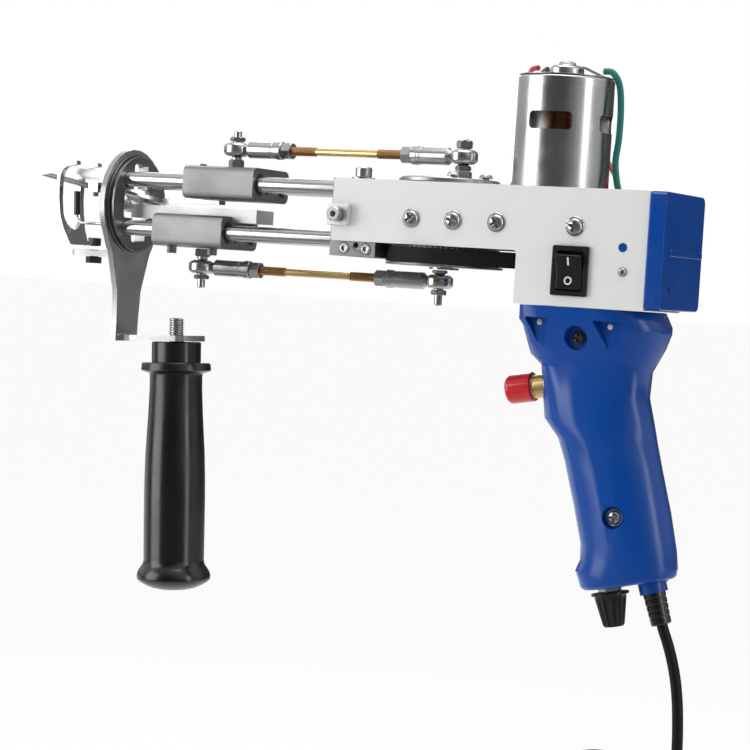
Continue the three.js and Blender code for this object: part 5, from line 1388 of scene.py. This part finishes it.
class TUFTING_OT_nose(Operator):
    """Makes the grooved nose disc, the handle bracket, the presser foot, its bolt and the guard wire"""

    bl_idname = "tufting.nose"
    bl_label = "Front end"

    def execute(self, context):
        plate_edge = edge("plate_edge")
        dressed("nose_disc", "turned_plate", plate_edge, name="nose_disc_plate")
        self.bracket(plate_edge)
        dressed("presser_foot", "zinc_plate", plate_edge, name="presser_strip")
        dressed("foot_bolt", "blackened_steel", 0.25, name="presser_bolt")
        self.guard()
        return {"FINISHED"}

    def bracket(self, width):
        """The bent bracket plate, its lower bend rounded inside and out."""
        piece = cad_copy("handle_bracket")
        for x, z, radius in BENDS:
            bevel_where(piece, self.across(x, z), radius, 5)
        finish(ease_edges(piece, width), "bracket_plate", "brushed_plate", "frame", "handle_bracket")

    def across(self, x, z):
        """A test for edges that lie across the machine near a place."""

        def near(end):
            return abs(end.x - x) < 0.7 and abs(end.z - z) < 0.9

        return lambda a, b: near(a) and near(b) and abs(a.y - b.y) > 8

    def guard(self):
        """The bent guard wire and the black sleeve on its upright end."""
        path = smooth_line(GUARD_WIRE, 6)
        finish(wire(path, GUARD_RADIUS, 16), "guard_bent_wire", "zinc_plate", "frame", "guard_wire")
        low, high = Vector(GUARD_WIRE[-2]), Vector(GUARD_WIRE[-1])
        up = high - low
        bore, mouth, thick, tall = GUARD_RADIUS + 0.02, 1.5, 1.75, up.length
        outside = [(bore, 0), (mouth, 0), (thick, 0.3), (thick, tall), (mouth, tall + 0.5), (0, tall + 0.5)]
        sleeve = lathe(outside + [(0, tall + 0.1), (bore, tall + 0.1), (bore, 0)])
        turn = up.to_track_quat("Z", "Y").to_matrix().to_4x4()
        finish(turned_by(sleeve, Matrix.Translation(low) @ turn), "guard_sleeve", "black_grip", "frame")


# Side handle: at shares of its length, how thick it is

HANDLE = {"length": 131.2, "radius": 19.6, "gap": 0.3}
HANDLE_PLACE = at(-212.8, 0, -40.13) @ about_y(-3.1)
HANDLE_SHAPE = [
    (0.0, 0.0), (0.0, 0.64), (0.004, 0.665), (0.082, 0.665), (0.084, 0.9), (0.09, 0.93), (0.114, 0.945),
    (0.118, 0.92), (0.127, 0.735), (0.133, 0.712), (0.19, 0.709), (0.3, 0.742), (0.45, 0.801), (0.55, 0.82),
    (0.63, 0.826), (0.75, 0.824), (0.88, 0.818), (0.898, 0.835), (0.912, 0.9), (0.928, 0.968), (0.945, 1.0),
    (0.958, 0.99), (0.968, 0.93), (0.98, 0.8), (0.992, 0.62), (1.0, 0.4), (1.0, 0.0),
]


class TUFTING_OT_handle(Operator):
    """Makes the turned side handle and its threaded stud"""

    bl_idname = "tufting.handle"
    bl_label = "Side handle"

    def execute(self, context):
        length, radius, gap = HANDLE.values()
        grip = lathe([(out * radius, -gap - along * length) for along, out in HANDLE_SHAPE], FINE)
        carve(grip, lathe(rod_profile(4.4, -14, 1)))
        grip = turned_by(ease_edges(grip, 0.5, 3, 35), HANDLE_PLACE)
        finish(grip, "handle_grip", "black_grip", "frame", "side_handle")
        stud = turned_by(lathe(thread_profile(4, 0.62, 1.25, -13.4, 12.2)), HANDLE_PLACE)
        finish(stud, "handle_thread", "zinc_plate", "frame", "handle_stud")
        return {"FINISHED"}


# Pistol grip: at shares of its depth, where its front and rear are, how wide it is, and how boxy it is

GRIP = {
    "top": -8.3,
    "depth": 138,
    "front": -8,
    "length": 65.2,
    "half": 26.5,
    "floor": (28.1, -144.9),
    "slant": 11.96,
    "margin": 0.5,
    "foot": 4.2,
    "sides": 144,
}
GRIP_ROWS = [
    (0, 0, 1, 1, 9, 2.6),
    (0.05, 0, 1.06, 0.99, 9, 2.5),
    (0.072, 0.01, 1.066, 0.95, 6, 2.4),
    (0.125, 0.012, 1.032, 0.85, 4, 2.4),
    (0.171, 0.02, 0.986, 0.755, 2.8, 2.4),
    (0.209, 0.103, 0.946, 0.702, 2.4, 2.3),
    (0.3, 0.121, 0.94, 0.679, 2.2, 2.2),
    (0.396, 0.147, 0.997, 0.679, 2.1, 2.1),
    (0.462, 0.265, 1.032, 0.679, 2, 2),
    (0.541, 0.331, 1.077, 0.679, 2, 2),
    (0.693, 0.426, 1.169, 0.679, 2, 2),
    (0.824, 0.5, 1.233, 0.679, 2, 2),
    (0.882, 0.505, 1.25, 0.679, 2, 2),
    (0.922, 0.472, 1.239, 0.679, 2, 2),
    (1, 0.54, 1.17, 0.62, 2, 2),
]


class TUFTING_OT_grip(Operator):
    """Makes the two grip shells with their screws, the trigger and its collar"""

    bl_idname = "tufting.grip"
    bl_label = "Pistol grip"

    def execute(self, context):
        width = edge("moulded_edge")
        for node, name in (("left_grip_shell", "left_shell"), ("right_grip_shell", "right_shell")):
            piece = carve(cad_copy(node), self.envelope(), operation="INTERSECT")
            finish(ease_edges(piece, width, 3, 34), name, "blue_shell", "frame", node)
        self.shell_screws()
        self.trigger()
        return {"FINISHED"}

    def envelope(self):
        """A solid just round the grip whose lower end is rounded, for trimming the shells' lower rim."""
        levels, foot, foot_steps = 68, GRIP["foot"], 6
        bands = [(step / levels, foot, 0) for step in range(levels + 1)]
        for step in range(1, foot_steps + 1):
            angle = step / foot_steps * math.pi / 2
            bands.append((1, foot * (1 - math.sin(angle)) - 0.1, foot * (1 - math.cos(angle))))
        rings = [[self.skin_point(turn, *band) for turn in range(GRIP["sides"])] for band in bands]
        boss = turned_by(lathe(rod_profile(7.8, -4, 14)), CORD_EXIT)
        return unite(skin(rings), boss)

    def skin_point(self, turn, share, rise, inset):
        """A point round the grip, a share of the way from its top to a rise over its slanted floor."""
        angle = math.tau * turn / GRIP["sides"]
        across, out = math.cos(angle), math.sin(angle)
        slope = math.tan(math.radians(GRIP["slant"]))
        top = GRIP["top"] + GRIP["margin"]
        z, x, y = top, 0.0, 0.0
        for _ in range(6):
            front, rear, half, front_power, rear_power = self.section((GRIP["top"] - z) / GRIP["depth"])
            power = rear_power if across > 0 else front_power
            middle, reach = (front + rear) / 2, (rear - front) / 2 + GRIP["margin"]
            x = math.copysign(abs(across) ** (2 / power) * reach, across)
            y = math.copysign(abs(out) ** (2 / power) * (half + GRIP["margin"]), out)
            floor = GRIP["floor"][1] + slope * (middle + x - GRIP["floor"][0])
            z = top + share * (floor + rise - top)
        shrink = 1 - inset / math.hypot(x, y)
        return middle + x * shrink, y * shrink, z

    def section(self, down):
        """The grip's front, rear, half width and two roundnesses at a share of its depth."""
        down = min(max(down, 0), 1)
        for low, high in zip(GRIP_ROWS, GRIP_ROWS[1:]):
            if down <= high[0]:
                break
        part = (down - low[0]) / (high[0] - low[0])
        _, front, rear, half, *powers = (a + (b - a) * part for a, b in zip(low, high))
        front, rear = (GRIP["front"] + end * GRIP["length"] for end in (front, rear))
        return front, rear, half * GRIP["half"], *powers

    def shell_screws(self):
        """The screws seen in the near shell's recesses and at the top of its pockets."""
        lower = turned_by(pan_screw(4.2, 2.4), near_side(45.8, -14.2, -106.9))
        finish(lower, "grip_lower_screw", "zinc_plate", "frame")
        upper = turned_by(pan_screw(3.6, 1.8), near_side(23.4, -19.2, -22.6))
        finish(upper, "grip_upper_screw", "blackened_steel", "frame")
        places = {"front": near_side(3.2, -20.7, -16.2), "rear": near_side(39.6, -20.7, -16.2)}
        pockets = [(f"grip_{end}_pocket_screw", place, "frame") for end, place in places.items()]
        finish_copies(pan_screw(1.4, 0.9), "white_mark", pockets)

    def trigger(self):
        """The crowned red push trigger and its brass collar."""
        place = at(-2.6, 0, -47.8) @ about_y(-90 - 10.3)
        stem = [(0, -7), (3.4, -7), (3.4, 3.3), (6.7, 3.3), (7.3, 3.9)]
        crown = [(7.3, 15.2), (7.05, 16.2), (6.3, 16.95), (4.8, 17.3), (2.4, 17.5), (0, 17.5)]
        cap = turned_by(lathe(stem + crown, FINE), place)
        finish(cap, "trigger_cap", "red_cap", "trigger", "trigger_button")
        groove = [(6, 1.6), (5.7, 1.8), (5.7, 2.3), (6, 2.5)]
        ring = lathe([(3.7, -8), (6, -8), *groove, (6, 4.6), (5.6, 5), (3.7, 5), (3.7, -8)], FINE)
        collar = turned_by(ease_edges(ring, 0.12, 1), place)
        finish(collar, "trigger_bezel", "polished_brass", "frame", "trigger_collar")


# Speed dial: its knob's radius and flutes, and its outline as shares of the radius and heights

KNOB_RADIUS = 9.25
FLUTES, FLUTE_STEPS, FLUTE_DEPTH = 14, 10, 0.09
SKIRT = [(0.9, 2.2), (1, 2.5), (1, 3.4), (0.97, 3.7), (0.87, 3.8), (0.85, 4.1), (0.83, 5.4)]
TAPER = [(0.83 - 0.25 * step / 8, 5.4 + 12.4 * step / 8) for step in range(1, 9)]
CROWN = [(0.55, 18.5), (0.5, 19), (0.4, 19.2)]


class TUFTING_OT_dial(Operator):
    """Makes the fluted speed knob and the potentiometer's threaded bush with its nut"""

    bl_idname = "tufting.dial"
    bl_label = "Speed dial"

    def execute(self, context):
        place = at(40.1, 0, -142.3) @ about_y(-11.4) @ UPSIDE_DOWN
        knob = skin([self.ring(share * KNOB_RADIUS, rise) for share, rise in SKIRT + TAPER + CROWN])
        carve(knob, lathe(rod_profile(3.2, 1, 11)))
        finish(turned_by(knob, place), "fluted_knob", "black_shell", "speed_dial", "speed_knob")
        dressed("speed_pot", "zinc_plate", 0.15, "frame", "dial_bush")
        return {"FINISHED"}

    def ring(self, radius, rise):
        """The knob's rim at a height: ridges with hollow flutes between them."""
        depth = 0 if rise < 4 or rise > 18.7 else FLUTE_DEPTH * min(1, (rise - 4) / 1.4)
        points = []
        for turn in range(FLUTES * FLUTE_STEPS):
            angle = math.tau * turn / (FLUTES * FLUTE_STEPS)
            reach = radius * (1 - depth * (0.5 - 0.5 * math.cos(FLUTES * angle)) ** 0.6)
            points.append((reach * math.cos(angle), reach * math.sin(angle), rise))
        return points


# Add-on

STEPS = (
    TUFTING_OT_stage,
    TUFTING_OT_cord,
    TUFTING_OT_housing,
    TUFTING_OT_screws,
    TUFTING_OT_switch,
    TUFTING_OT_motor,
    TUFTING_OT_drive,
    TUFTING_OT_rods,
    TUFTING_OT_links,
    TUFTING_OT_sliders,
    TUFTING_OT_needle,
    TUFTING_OT_scissors,
    TUFTING_OT_nose,
    TUFTING_OT_handle,
    TUFTING_OT_grip,
    TUFTING_OT_dial,
)


class TUFTING_PT_sidebar(Panel):
    """Lists the machine's sizes, colours and building steps"""

    bl_idname = "TUFTING_PT_sidebar"
    bl_label = "Tufting machine"
    bl_space_type = "VIEW_3D"
    bl_region_type = "UI"
    bl_category = "Tufting"

    def draw(self, context):
        layout = self.layout
        for group in (context.scene.tufting_sizes, context.scene.tufting_colours):
            box = layout.box()
            for name in group.__annotations__:
                box.prop(group, name)
        for step in STEPS:
            layout.operator(step.bl_idname)


CLASSES = (TuftingSizes, TuftingColours, *STEPS, TUFTING_PT_sidebar)


def register():
    """Adds the classes and the scene's settings."""
    for item in CLASSES:
        bpy.utils.register_class(item)
    bpy.types.Scene.tufting_sizes = PointerProperty(type=TuftingSizes)
    bpy.types.Scene.tufting_colours = PointerProperty(type=TuftingColours)


def unregister():
    """Takes the scene's settings and the classes away."""
    del bpy.types.Scene.tufting_colours
    del bpy.types.Scene.tufting_sizes
    for item in reversed(CLASSES):
        bpy.utils.unregister_class(item)


def main():
    """Runs every step in order."""
    register()
    chosen = bpy.context.scene.tufting_colours
    make_materials({name: getattr(chosen, name) for name in chosen.__annotations__})
    for step in STEPS:
        group, name = step.bl_idname.split(".")
        getattr(getattr(bpy.ops, group), name)()


if __name__ == "__main__":
    main()
